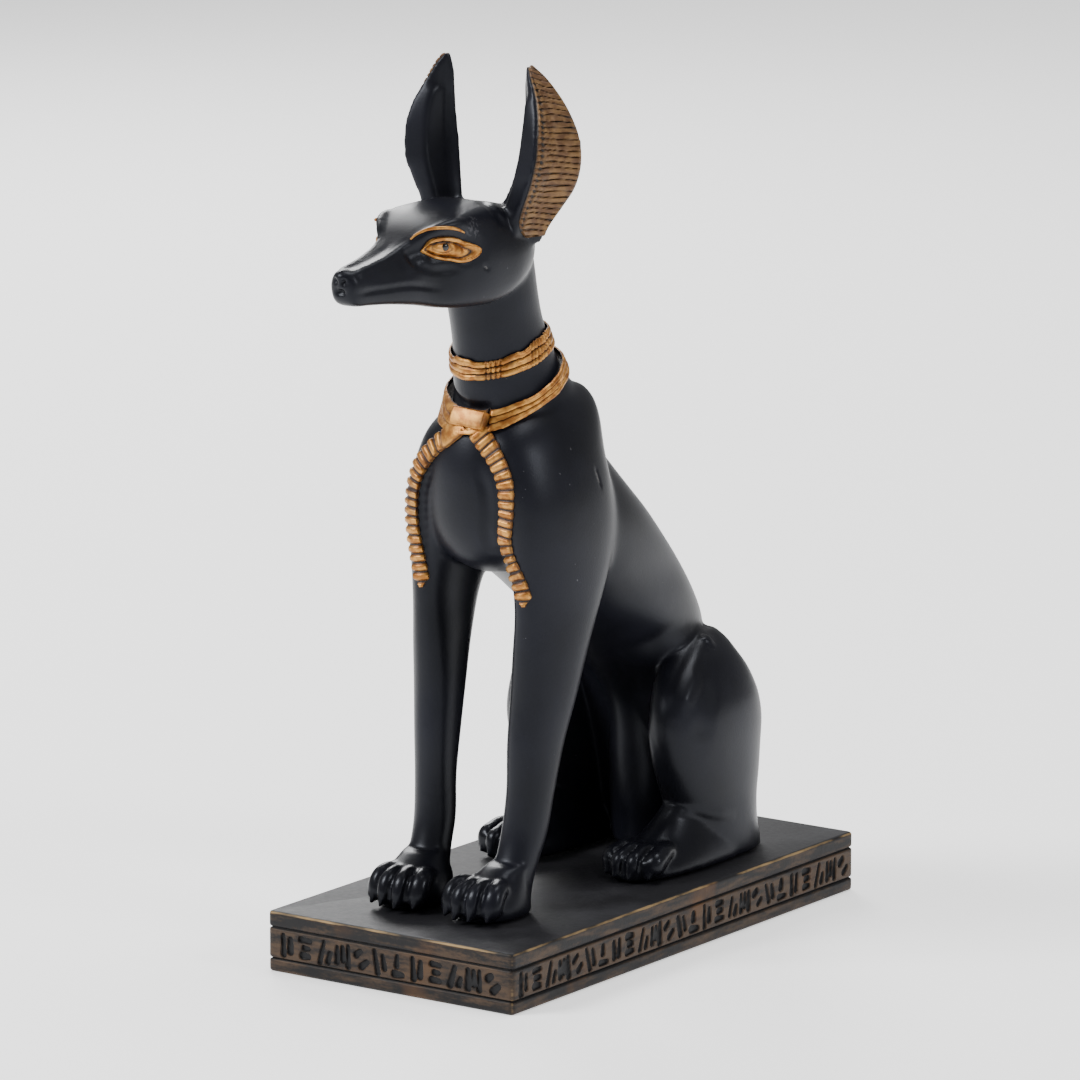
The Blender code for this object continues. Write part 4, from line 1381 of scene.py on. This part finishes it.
@dataclass
class Plinth:
    """The plinth: bordered sides with a frieze of black strokes under a worn top edge.

    A row of a kind gives a stroke's place along and up, its length and width, all as shares of the
    pitch, the height and the width of a stroke, and its lean in degrees.
    """

    upper_band: float = 0.0033
    lower_band: float = 0.0027
    groove: float = 0.0006
    groove_depth: float = 0.0006
    stroke_depth: float = 0.0006
    stroke_width: float = 0.0013
    stroke_height: float = 0.0055
    stroke_pitch: float = 0.0050
    frieze_margin: float = 0.0040
    corner: float = 0.0012
    edge: float = 0.0007
    grid: float = 0.00018
    corner_steps: int = 7
    stroke_taper: float = 0.25
    stroke_blur: float = 0.00012
    ink_seed: int = 5
    faces_kept: int = 180000
    kinds: tuple[tuple[Row, ...], ...] = (
        ((-0.22, 0, 1, 1, 0), (0.16, 0.02, 0.8, 1, 0)),
        ((0, 0.32, 0.66, 1, 90), (0.04, 0, 0.5, 1, 90), (0, -0.32, 0.66, 1, 90)),
        ((-0.12, 0, 1, 1, 16), (0.26, -0.18, 0.55, 1, 16)),
        ((-0.3, 0, 0.9, 1, 0), (0, 0.08, 0.7, 1, 0), (0.3, 0, 0.95, 1, 0)),
        ((-0.14, 0.22, 0.5, 1.1, 52), (0.18, -0.2, 0.55, 1.1, 52)),
        ((-0.2, 0, 1, 1, -14), (0.2, 0.04, 0.75, 1, -14)),
        ((0, -0.36, 0.74, 1, 90), (-0.08, 0.18, 0.55, 1.1, 6)),
    )

    def __post_init__(self) -> None:
        """Takes the outer size from the frame."""
        low, high = PLINTH_BOX
        self.width = high.x - low.x
        self.length = high.y - low.y
        self.height = high.z - low.z
        self.middle = 0.5 * (self.lower_band + self.height - self.upper_band)

    def outline(self) -> tuple[np.ndarray, np.ndarray, np.ndarray]:
        """Points round the plinth with their outward directions and the run along each side.

        Returns:
            Places and directions in plan, and rows of the distance from the side's middle,
            the side's length, and 1 on the flat or 0 on a corner.
        """
        half_x, half_y = self.width / 2, self.length / 2
        places, outs, runs = [], [], []
        sides = (((half_x, -half_y), (0, 1), self.length),
                 ((half_x, half_y), (-1, 0), self.width),
                 ((-half_x, half_y), (0, -1), self.length),
                 ((-half_x, -half_y), (1, 0), self.width))
        for (x, y), (dx, dy), run in sides:
            out = np.array((dy, -dx), float)
            along = np.array((dx, dy), float)
            straight = run - 2 * self.corner
            count = int(straight / self.grid)
            for k in range(count):
                s = self.corner + straight * k / count
                places.append(np.array((x, y)) + along * s)
                outs.append(out)
                runs.append((s - run / 2, run, 1.0))
            centre = np.array((x, y)) + along * (run - self.corner) - out * self.corner
            for k in range(self.corner_steps):
                turn = math.radians(90.0 * k / self.corner_steps)
                way = out * math.cos(turn) + along * math.sin(turn)
                places.append(centre + way * self.corner)
                outs.append(way)
                runs.append((run, run, 0.0))
        return np.array(places), np.array(outs), np.array(runs)

    def strokes(self, run: float, seed: int) -> list[tuple[float, float, float, float, float]]:
        """Places of the strokes along a side: distance, rise, half length, half width, lean.

        Args:
            run: the side's length.
            seed: fixes the unevenness.

        Returns:
            One row a stroke, with its lean in radians.
        """
        drift = np.random.default_rng(seed)
        count = int((run - 2 * self.frieze_margin) / self.stroke_pitch) + 1
        start = -0.5 * (count - 1) * self.stroke_pitch
        out = []
        for i in range(count):
            for along, rise, length, width, lean in self.kinds[i % len(self.kinds)]:
                grow = 1.0 + drift.uniform(-0.12, 0.12)
                out.append((start + (i + along) * self.stroke_pitch, rise * self.stroke_height,
                            0.5 * length * self.stroke_height * grow,
                            0.5 * width * self.stroke_width * (1.0 + drift.uniform(-0.15, 0.25)),
                            math.radians(lean + drift.uniform(-4.0, 4.0))))
        return out

    def ink(self, run: np.ndarray, height: np.ndarray, side_run: float, seed: int) -> np.ndarray:
        """How deep the strokes are at places of a side, from 0 to 1.

        Args:
            run: distances from the side's middle.
            height: heights over the underside.
            side_run: the side's length.
            seed: fixes the strokes' unevenness.

        Returns:
            One number a place.
        """
        out = np.zeros_like(run)
        for along, rise, half_length, half_width, lean in self.strokes(side_run, seed):
            x = run - along
            z = height - self.middle - rise
            lengthwise = z * math.cos(lean) + x * math.sin(lean)
            across = x * math.cos(lean) - z * math.sin(lean)
            taper = 1.0 - self.stroke_taper * np.clip(lengthwise / half_length, -1.0, 1.0)
            past = np.maximum(np.abs(lengthwise) - (half_length - half_width), 0.0)
            gap = np.hypot(past, across) - half_width * taper
            out = np.maximum(out, 1.0 - soft_step(-self.stroke_blur, self.stroke_blur, gap))
        return out

    def groove_lines(self) -> Span:
        """Heights of the two grooves that border the frieze."""
        return (self.lower_band + self.groove / 2,
                self.height - self.upper_band - self.groove / 2)

    def relief(self, run: np.ndarray, length: np.ndarray, height: np.ndarray,
               flat: np.ndarray) -> tuple[np.ndarray, np.ndarray]:
        """How far the sides lie inside the plain block, and where they are inked.

        Args:
            run: distances from the side's middle.
            length: length of each place's side.
            height: heights over the underside.
            flat: 1 on the flat, 0 on a corner.

        Returns:
            The insets in metres, and the ink from 0 to 1.
        """
        inset = np.zeros_like(height)
        for line in self.groove_lines():
            inset += self.groove_depth * np.exp(-((height - line) / (0.42 * self.groove)) ** 2)
        ink = np.zeros_like(height)
        for number, side_run in enumerate((self.length, self.width)):
            on_side = (flat > 0.5) & (np.abs(length - side_run) < 1e-5)
            ink[on_side] = self.ink(run[on_side], height[on_side], side_run,
                                    self.ink_seed + number)
        inset += self.stroke_depth * ink
        top = np.clip((height - (self.height - self.edge)) / self.edge, 0.0, 1.0)
        foot = np.clip((self.edge - height) / self.edge, 0.0, 1.0)
        inset += self.edge * (1.0 - np.sqrt(1.0 - 0.98 * np.maximum(top, foot) ** 2))
        return inset, ink

    def build(self) -> bpy.types.Object:
        """Models the block with its relief and marks its inked places.

        Returns:
            The block.
        """
        places, outs, runs = self.outline()
        levels = np.unique(np.concatenate([
            np.linspace(0.0, self.edge, 5),
            np.arange(self.edge, self.height - self.edge, self.grid),
            np.linspace(self.height - self.edge, self.height, 5),
        ]))
        rings = []
        for level in levels:
            heights = np.full(len(places), level)
            inset, _ = self.relief(runs[:, 0], runs[:, 1], heights, runs[:, 2])
            ring = places - outs * inset[:, None]
            rings.append([Vector((x, y, level)) for x, y in ring])
        shells = Shells()
        shells.shell_at(rings)
        block = Modeller.add("plinth_block", shells.mesh("plinth_block"))
        Modeller.thin(block, self.faces_kept)
        self._mark(block)
        Modeller.smooth(block, 35.0)
        return block

    def _mark(self, block: bpy.types.Object) -> None:
        """Stores where the block is inked.

        Args:
            block: the plinth's block.
        """
        points = Modeller.points(block)
        x, y, z = points.T
        half_x, half_y = self.width / 2, self.length / 2
        to_long = half_x - np.abs(x)
        to_short = half_y - np.abs(y)
        long_side = to_long < to_short
        run = np.where(long_side, np.sign(x) * y, -np.sign(y) * x)
        length = np.where(long_side, self.length, self.width)
        flat = np.where(np.maximum(to_long, to_short) > self.corner, 1.0, 0.0)
        _, ink = self.relief(run, length, z, flat)
        grooves = np.zeros_like(z)
        for line in self.groove_lines():
            grooves = np.maximum(grooves, np.exp(-((z - line) / (0.5 * self.groove)) ** 2))
        Modeller.mark(block, "ink", np.maximum(ink, 0.8 * grooves))


Operand = "Wire | float"


class Wire:
    """A value that runs through a material's nodes, for use in plain expressions."""

    def __init__(self, bench: "NodeBench", socket: bpy.types.NodeSocket) -> None:
        """Keeps the socket that gives the value."""
        self.bench = bench
        self.socket = socket

    def _with(self, operation: str, first: Operand, second: Operand) -> "Wire":
        """The value of a sum on two operands."""
        return self.bench.wire("ShaderNodeMath", {"operation": operation}, {0: first, 1: second})

    def __add__(self, other: Operand) -> "Wire":
        """Sum."""
        return self._with("ADD", self, other)

    def __radd__(self, other: Operand) -> "Wire":
        """Sum with a number in front."""
        return self._with("ADD", other, self)

    def __sub__(self, other: Operand) -> "Wire":
        """Difference."""
        return self._with("SUBTRACT", self, other)

    def __rsub__(self, other: Operand) -> "Wire":
        """Difference from a number."""
        return self._with("SUBTRACT", other, self)

    def __mul__(self, other: Operand) -> "Wire":
        """Product."""
        return self._with("MULTIPLY", self, other)

    def __rmul__(self, other: Operand) -> "Wire":
        """Product with a number in front."""
        return self._with("MULTIPLY", other, self)

    def size(self) -> "Wire":
        """The value without its sign."""
        return self._with("ABSOLUTE", self, 0.0)

    def below(self, low: float, high: float) -> "Wire":
        """A smooth fall from 1 at low to 0 at high."""
        return 1.0 - self.above(low, high)

    def above(self, low: float, high: float) -> "Wire":
        """A smooth rise from 0 at low to 1 at high."""
        return self.bench.wire("ShaderNodeMapRange", {"interpolation_type": "SMOOTHSTEP"},
                               {"Value": self, "From Min": low, "From Max": high})

    def least(self, other: Operand) -> "Wire":
        """The smaller of two values."""
        return self._with("MINIMUM", self, other)

    def most(self, other: Operand) -> "Wire":
        """The larger of two values."""
        return self._with("MAXIMUM", self, other)


class NodeBench:
    """Makes the nodes of one material."""

    def __init__(self, name: str) -> None:
        """Starts a material with its Principled shader.

        Args:
            name: the material's name.
        """
        self.material = bpy.data.materials.new(name)
        self.material.use_nodes = True
        self.nodes = self.material.node_tree.nodes
        self.links = self.material.node_tree.links
        self.shader = self.nodes["Principled BSDF"]

    def node(self, kind: str, settings: dict[str, object], inputs: dict) -> bpy.types.Node:
        """Adds a node, sets it, and feeds its sockets.

        Args:
            kind: the node's type.
            settings: its own settings, set first.
            inputs: values or wires by socket name or number.

        Returns:
            The node.
        """
        made = self.nodes.new(kind)
        for name, value in settings.items():
            setattr(made, name, value)
        self.feed(made, inputs)
        return made

    def feed(self, node: bpy.types.Node, inputs: dict) -> None:
        """Puts values or wires on a node's sockets.

        Args:
            node: the node.
            inputs: values or wires by socket name or number.
        """
        for key, value in inputs.items():
            if isinstance(value, Wire):
                self.links.new(value.socket, node.inputs[key])
            else:
                node.inputs[key].default_value = value

    def wire(self, kind: str, settings: dict[str, object], inputs: dict,
             output: int | str = 0) -> Wire:
        """Adds a node and gives one of its outputs."""
        return Wire(self, self.node(kind, settings, inputs).outputs[output])

    def place(self) -> Wire:
        """The point's place on the piece."""
        return self.wire("ShaderNodeTexCoord", {}, {}, "Object")

    def axes(self) -> tuple[Wire, Wire, Wire]:
        """The three distances of the point's place."""
        split = self.node("ShaderNodeSeparateXYZ", {}, {"Vector": self.place()})
        return tuple(Wire(self, split.outputs[axis]) for axis in "XYZ")

    def mark(self, name: str) -> Wire:
        """A number stored on the piece's points."""
        return self.wire("ShaderNodeAttribute", {"attribute_name": name}, {}, "Fac")

    def noise(self, scale: float, detail: float = 3.0, stretch: Point = (1.0, 1.0, 1.0)) -> Wire:
        """Soft clouds of a given number to the metre.

        Args:
            scale: clouds to the metre.
            detail: how many finer layers.
            stretch: the scale along each axis.

        Returns:
            The clouds, about 0 to 1.
        """
        coordinates = self.wire("ShaderNodeMapping", {}, {"Vector": self.place(), "Scale": stretch})
        return self.wire("ShaderNodeTexNoise", {},
                         {"Vector": coordinates, "Scale": scale, "Detail": detail}, "Fac")

    def mix(self, share: Operand, first: object, second: object) -> Wire:
        """A colour between two colours.

        Args:
            share: 0 for the first, 1 for the second.
            first: a colour or its wire.
            second: a colour or its wire.

        Returns:
            The mixed colour.
        """
        made = self.nodes.new("ShaderNodeMix")
        made.data_type = "RGBA"
        self.feed(made, {0: share, 6: first, 7: second})
        return Wire(self, made.outputs[2])

    def bump(self, height: Wire, strength: float, distance: float) -> Wire:
        """A normal for small relief."""
        return self.wire("ShaderNodeBump", {}, {"Height": height, "Strength": strength,
                                                "Distance": distance}, "Normal")


def tint(red: float, green: float, blue: float) -> Colour:
    """A colour from linear red, green and blue."""
    return (red, green, blue, 1.0)


@dataclass(frozen=True)
class BlackResin:
    """Satin black paint with a cold cast, glossier near the feet, with a few dust specks."""

    name: str = "black painted resin"
    deep: Colour = tint(0.0035, 0.0036, 0.0052)
    pale: Colour = tint(0.0075, 0.0078, 0.0120)
    dust: Colour = tint(0.10, 0.10, 0.11)
    scuff: Colour = tint(0.22, 0.21, 0.20)
    sheen: Colour = tint(0.86, 0.90, 1.0)
    specular: float = 0.19
    roughness: float = 0.32
    cloud_roughness: float = 0.10
    gloss: float = 0.08
    cloud_rise: Span = (0.35, 0.7)
    speck_rise: Span = (0.735, 0.77)
    speck_patches: Span = (0.52, 0.62)
    speck_share: float = 0.6
    pitted_rise: Span = (0.15, 0.6)
    pit_rise: Span = (0.52, 0.60)
    pit_share: float = 0.3
    pit_depth: float = 3.0
    scuffed_rise: Span = (0.25, 0.9)
    scuff_share: float = 0.4

    def make(self) -> bpy.types.Material:
        """The finish as a material.

        Returns:
            The material, which reads gloss, scuffed and pitted.
        """
        bench = NodeBench(self.name)
        clouds = bench.noise(38.0, 4.0)
        specks = (bench.noise(900.0, 2.0).above(*self.speck_rise)
                  * bench.noise(60.0).above(*self.speck_patches))
        colour = bench.mix(clouds.above(*self.cloud_rise), self.deep, self.pale)
        colour = bench.mix(specks * self.speck_share, colour, self.dust)
        pits = (bench.mark("pitted").above(*self.pitted_rise)
                * bench.noise(1500.0, 2.0).above(*self.pit_rise))
        colour = bench.mix(pits * self.pit_share, colour, self.dust)
        scuffs = bench.mark("scuffed").above(*self.scuffed_rise)
        colour = bench.mix(scuffs * self.scuff_share, colour, self.scuff)
        gloss = bench.mark("gloss") * self.gloss
        grain = (bench.noise(2600.0, 2.0) + 0.6 * bench.noise(420.0, 3.0)
                 - self.pit_depth * pits)
        bench.feed(bench.shader, {
            "Base Color": colour,
            "Roughness": (clouds * self.cloud_roughness + self.roughness) - gloss,
            "Specular IOR Level": self.specular,
            "Specular Tint": self.sheen,
            "Normal": bench.bump(grain, 0.10, 0.0002),
        })
        return bench.material


@dataclass(frozen=True)
class GoldPaint:
    """Hand-painted gold with painted shade, brown in its recesses and black in the deepest."""

    name: str = "gold paint"
    bright: Colour = tint(0.54, 0.265, 0.062)
    warm: Colour = tint(0.28, 0.105, 0.019)
    # brown and black are painted shade for recesses; brown also darkens random patches of uneven
    # paint
    brown: Colour = tint(0.040, 0.012, 0.004)
    black: Colour = tint(0.007, 0.005, 0.005)
    metallic: float = 0.72
    roughness: float = 0.35
    brush_rise: Span = (0.36, 0.66)
    patch_rise: Span = (0.52, 0.74)
    shade_and_dirt_rise: Span = (0.1, 0.95)
    black_rise: Span = (0.85, 1.0)

    def make(self) -> bpy.types.Material:
        """The finish as a material.

        Returns:
            The material, which reads wash.
        """
        bench = NodeBench(self.name)
        brush = bench.noise(520.0, 4.0)
        patches = bench.noise(170.0, 3.0)
        painted_shade = bench.mark("painted_shade")
        colour = bench.mix(brush.above(*self.brush_rise), self.warm, self.bright)
        # the pieces' stored painted shade, plus random brown patches of uneven paint, darken the
        # gold; the deepest painted shade is black
        shade_and_dirt = (painted_shade * 0.9 + patches.above(*self.patch_rise) * 0.5).above(*self.shade_and_dirt_rise)
        colour = bench.mix(shade_and_dirt, colour, self.brown)
        colour = bench.mix(painted_shade.above(*self.black_rise), colour, self.black)
        bench.feed(bench.shader, {
            "Base Color": colour,
            "Metallic": self.metallic * (1.0 - shade_and_dirt * 0.7),
            "Roughness": self.roughness + brush * 0.14 + shade_and_dirt * 0.1,
            "Normal": bench.bump(bench.noise(1500.0, 3.0) + 0.8 * brush, 0.18, 0.0002),
        })
        return bench.material


@dataclass(frozen=True)
class BronzeResin:
    """The plinth: black top, brown bronze sides brushed over black, worn pale edges.

    Distances are in metres: heights from the underside, depths from the top and the sides.
    """

    half_x: float
    half_y: float
    height: float
    name: str = "aged bronze resin"
    top: Colour = tint(0.0085, 0.0085, 0.0105)
    dust: Colour = tint(0.030, 0.030, 0.034)
    dark: Colour = tint(0.006, 0.0055, 0.006)
    bronze: Colour = tint(0.064, 0.041, 0.026)
    orange: Colour = tint(0.120, 0.052, 0.016)
    worn: Colour = tint(0.30, 0.20, 0.09)
    ink: Colour = tint(0.006, 0.006, 0.007)
    specular: float = 0.24
    roughness: float = 0.44
    top_depths: Span = (0.00035, 0.0001)
    side_depths: Span = (0.0002, 0.0004)
    frieze_heights: Span = (0.0029, 0.0031)
    frieze_depths: Span = (0.0037, 0.0035)
    frieze_light: float = 0.12
    brushed_rise: Span = (0.56, 0.92)
    patch_rise: Span = (0.56, 0.74)
    ink_rise: Span = (0.2, 0.6)
    dust_rise: Span = (0.5, 0.75)
    rim_inward: Span = (0.0002, 0.0009)
    rim_depths: Span = (0.0009, 0.0004)
    corner_inward: Span = (0.0004, 0.0014)
    foot_heights: Span = (0.0001, 0.0008)
    rubbed_rise: Span = (0.66, 1.0)

    def from_top(self, depths: Span) -> Span:
        """Two heights that lie so far under the top."""
        return self.height - depths[0], self.height - depths[1]

    def make(self) -> bpy.types.Material:
        """The finish as a material.

        Returns:
            The material, which reads ink.
        """
        bench = NodeBench(self.name)
        x, y, z = bench.axes()
        to_side = self.half_x - x.size()
        to_end = self.half_y - y.size()
        inward = to_side.least(to_end)
        streaks = bench.noise(110.0, 6.0, (1.0, 1.0, 6.0))
        fine = bench.noise(900.0, 4.0, (1.0, 1.0, 2.0))
        patches = bench.noise(60.0, 3.0)
        ink = bench.mark("ink").above(*self.ink_rise)
        side = z.below(*self.from_top(self.top_depths)).most(inward.below(*self.side_depths))
        frieze = z.above(*self.frieze_heights) * z.below(*self.from_top(self.frieze_depths))
        brushed = (streaks + fine * 0.35 + frieze * self.frieze_light).above(*self.brushed_rise)
        colour = bench.mix(brushed, self.dark, self.bronze)
        colour = bench.mix(patches.above(*self.patch_rise) * 0.5, colour, self.orange)
        colour = bench.mix(ink, colour, self.ink)
        dusty = bench.noise(45.0, 5.0).above(*self.dust_rise) * 0.7
        colour = bench.mix(side, bench.mix(dusty, self.top, self.dust), colour)
        rim = inward.below(*self.rim_inward) * z.above(*self.from_top(self.rim_depths))
        corner = to_side.most(to_end).below(*self.corner_inward)
        foot = z.below(*self.foot_heights)
        edges = rim.most(corner * 0.85).most(foot * 0.7)
        rubbed = (edges * (0.30 + streaks * 1.1)).above(*self.rubbed_rise)
        colour = bench.mix(rubbed * 0.85, colour, self.worn)
        grain = bench.noise(700.0, 4.0) + 0.5 * bench.noise(3000.0, 2.0)
        bench.feed(bench.shader, {
            "Base Color": colour,
            "Metallic": side * brushed * (1.0 - ink) * 0.3,
            "Roughness": self.roughness + fine * 0.16,
            "Specular IOR Level": self.specular,
            "Normal": bench.bump(grain, 0.16, 0.0003),
        })
        return bench.material


@dataclass(frozen=True)
class PlainFinish:
    """A finish of one colour with slight unevenness."""

    name: str
    colour: Colour
    roughness: float
    glow: float = 0.0

    def make(self) -> bpy.types.Material:
        """The finish as a material.

        Returns:
            The material.
        """
        bench = NodeBench(self.name)
        clouds = bench.noise(20.0, 2.0)
        bench.feed(bench.shader, {
            "Base Color": self.colour,
            "Roughness": self.roughness + clouds * 0.04,
            "Emission Color": self.colour,
            "Emission Strength": self.glow,
        })
        return bench.material


@dataclass
class Studio:
    """A pale floor, soft lights and the camera of the photograph."""

    camera_place: Point = (0.95584, -1.36131, 0.43756)
    camera_aim: Point = (-0.002815, -0.006248, 0.089432)
    lens: float = 256.57
    sensor: float = 36.0
    clip: Span = (0.05, 20.0)
    floor_size: float = 8.0
    floor_glow: float = 0.75
    world_light: float = 0.35
    lights: tuple[tuple[str, Point, float, float], ...] = (
        ("key", (-0.70, -0.95, 1.05), 0.55, 25.0),
        ("fill", (1.30, 0.05, 0.75), 0.35, 7.0),
        ("top", (0.1, 0.25, 1.35), 0.6, 10.0),
        ("rim", (-0.9, 0.8, 0.7), 0.5, 10.0),
    )

    def build(self) -> None:
        """Sets the floor, the lights, the world and the camera."""
        bpy.ops.object.select_all(action="DESELECT")
        bpy.ops.mesh.primitive_plane_add(size=self.floor_size, location=(0.0, 0.0, 0.0))
        floor = bpy.context.active_object
        floor.name = "floor"
        finish = PlainFinish("pale floor", tint(0.92, 0.92, 0.92), 0.7, self.floor_glow)
        floor.data.materials.append(finish.make())
        for name, place, size, power in self.lights:
            data = bpy.data.lights.new(name, "AREA")
            data.size = size
            data.energy = power
            light = bpy.data.objects.new(name, data)
            bpy.context.scene.collection.objects.link(light)
            self._point(light, place)
        world = bpy.data.worlds.new("studio")
        world.use_nodes = True
        sky = world.node_tree.nodes["Background"]
        sky.inputs["Color"].default_value = tint(1.0, 1.0, 1.0)
        sky.inputs["Strength"].default_value = self.world_light
        bpy.context.scene.world = world
        data = bpy.data.cameras.new("camera")
        data.lens = self.lens
        data.sensor_width = self.sensor
        data.clip_start, data.clip_end = self.clip
        camera = bpy.data.objects.new("camera", data)
        bpy.context.scene.collection.objects.link(camera)
        self._point(camera, self.camera_place)
        bpy.context.scene.camera = camera

    def _point(self, obj: bpy.types.Object, place: Point) -> None:
        """Puts a light or the camera at its place, turned to the figure.

        Args:
            obj: the light or the camera.
            place: where it stands.
        """
        obj.location = place
        way = Vector(self.camera_aim) - Vector(place)
        obj.rotation_euler = way.to_track_quat("-Z", "Y").to_euler()


def main() -> None:
    """Builds the figure, its gold work, the plinth and the studio."""
    logging.basicConfig(level=logging.INFO, format="%(message)s")
    black = BlackResin().make()
    gold = GoldPaint().make()
    ear_gold = GoldPaint("ear gold", tint(0.165, 0.088, 0.030), tint(0.085, 0.038, 0.013),
                         tint(0.008, 0.005, 0.004), metallic=0.40, roughness=0.42).make()
    pupil_black = PlainFinish("pupil", tint(0.006, 0.006, 0.007), 0.2).make()

    figure = Jackal()
    body, tree = figure.build()
    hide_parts("jackal")
    Modeller.finish(body, black, "black_resin")
    work = GoldWork(figure, tree)
    golden = [work.band("neck_band", UPPER_BAND), work.band("collar", COLLAR), work.clasp()]
    for side in Side:
        golden.append(work.lappet(side))
        almond, pupil, brow = work.eye(side)
        golden += [almond, brow]
        Modeller.finish(pupil, pupil_black, "black_resin")
        Modeller.finish(work.ear_lining(side), ear_gold, "black_resin")
    for piece in golden:
        Modeller.finish(piece, gold, "black_resin")

    plinth = Plinth()
    block = plinth.build()
    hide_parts("plinth")
    bronze = BronzeResin(plinth.width / 2, plinth.length / 2, plinth.height).make()
    Modeller.finish(block, bronze, "bronze_resin")
    Studio().build()


if __name__ == "__main__":
    main()
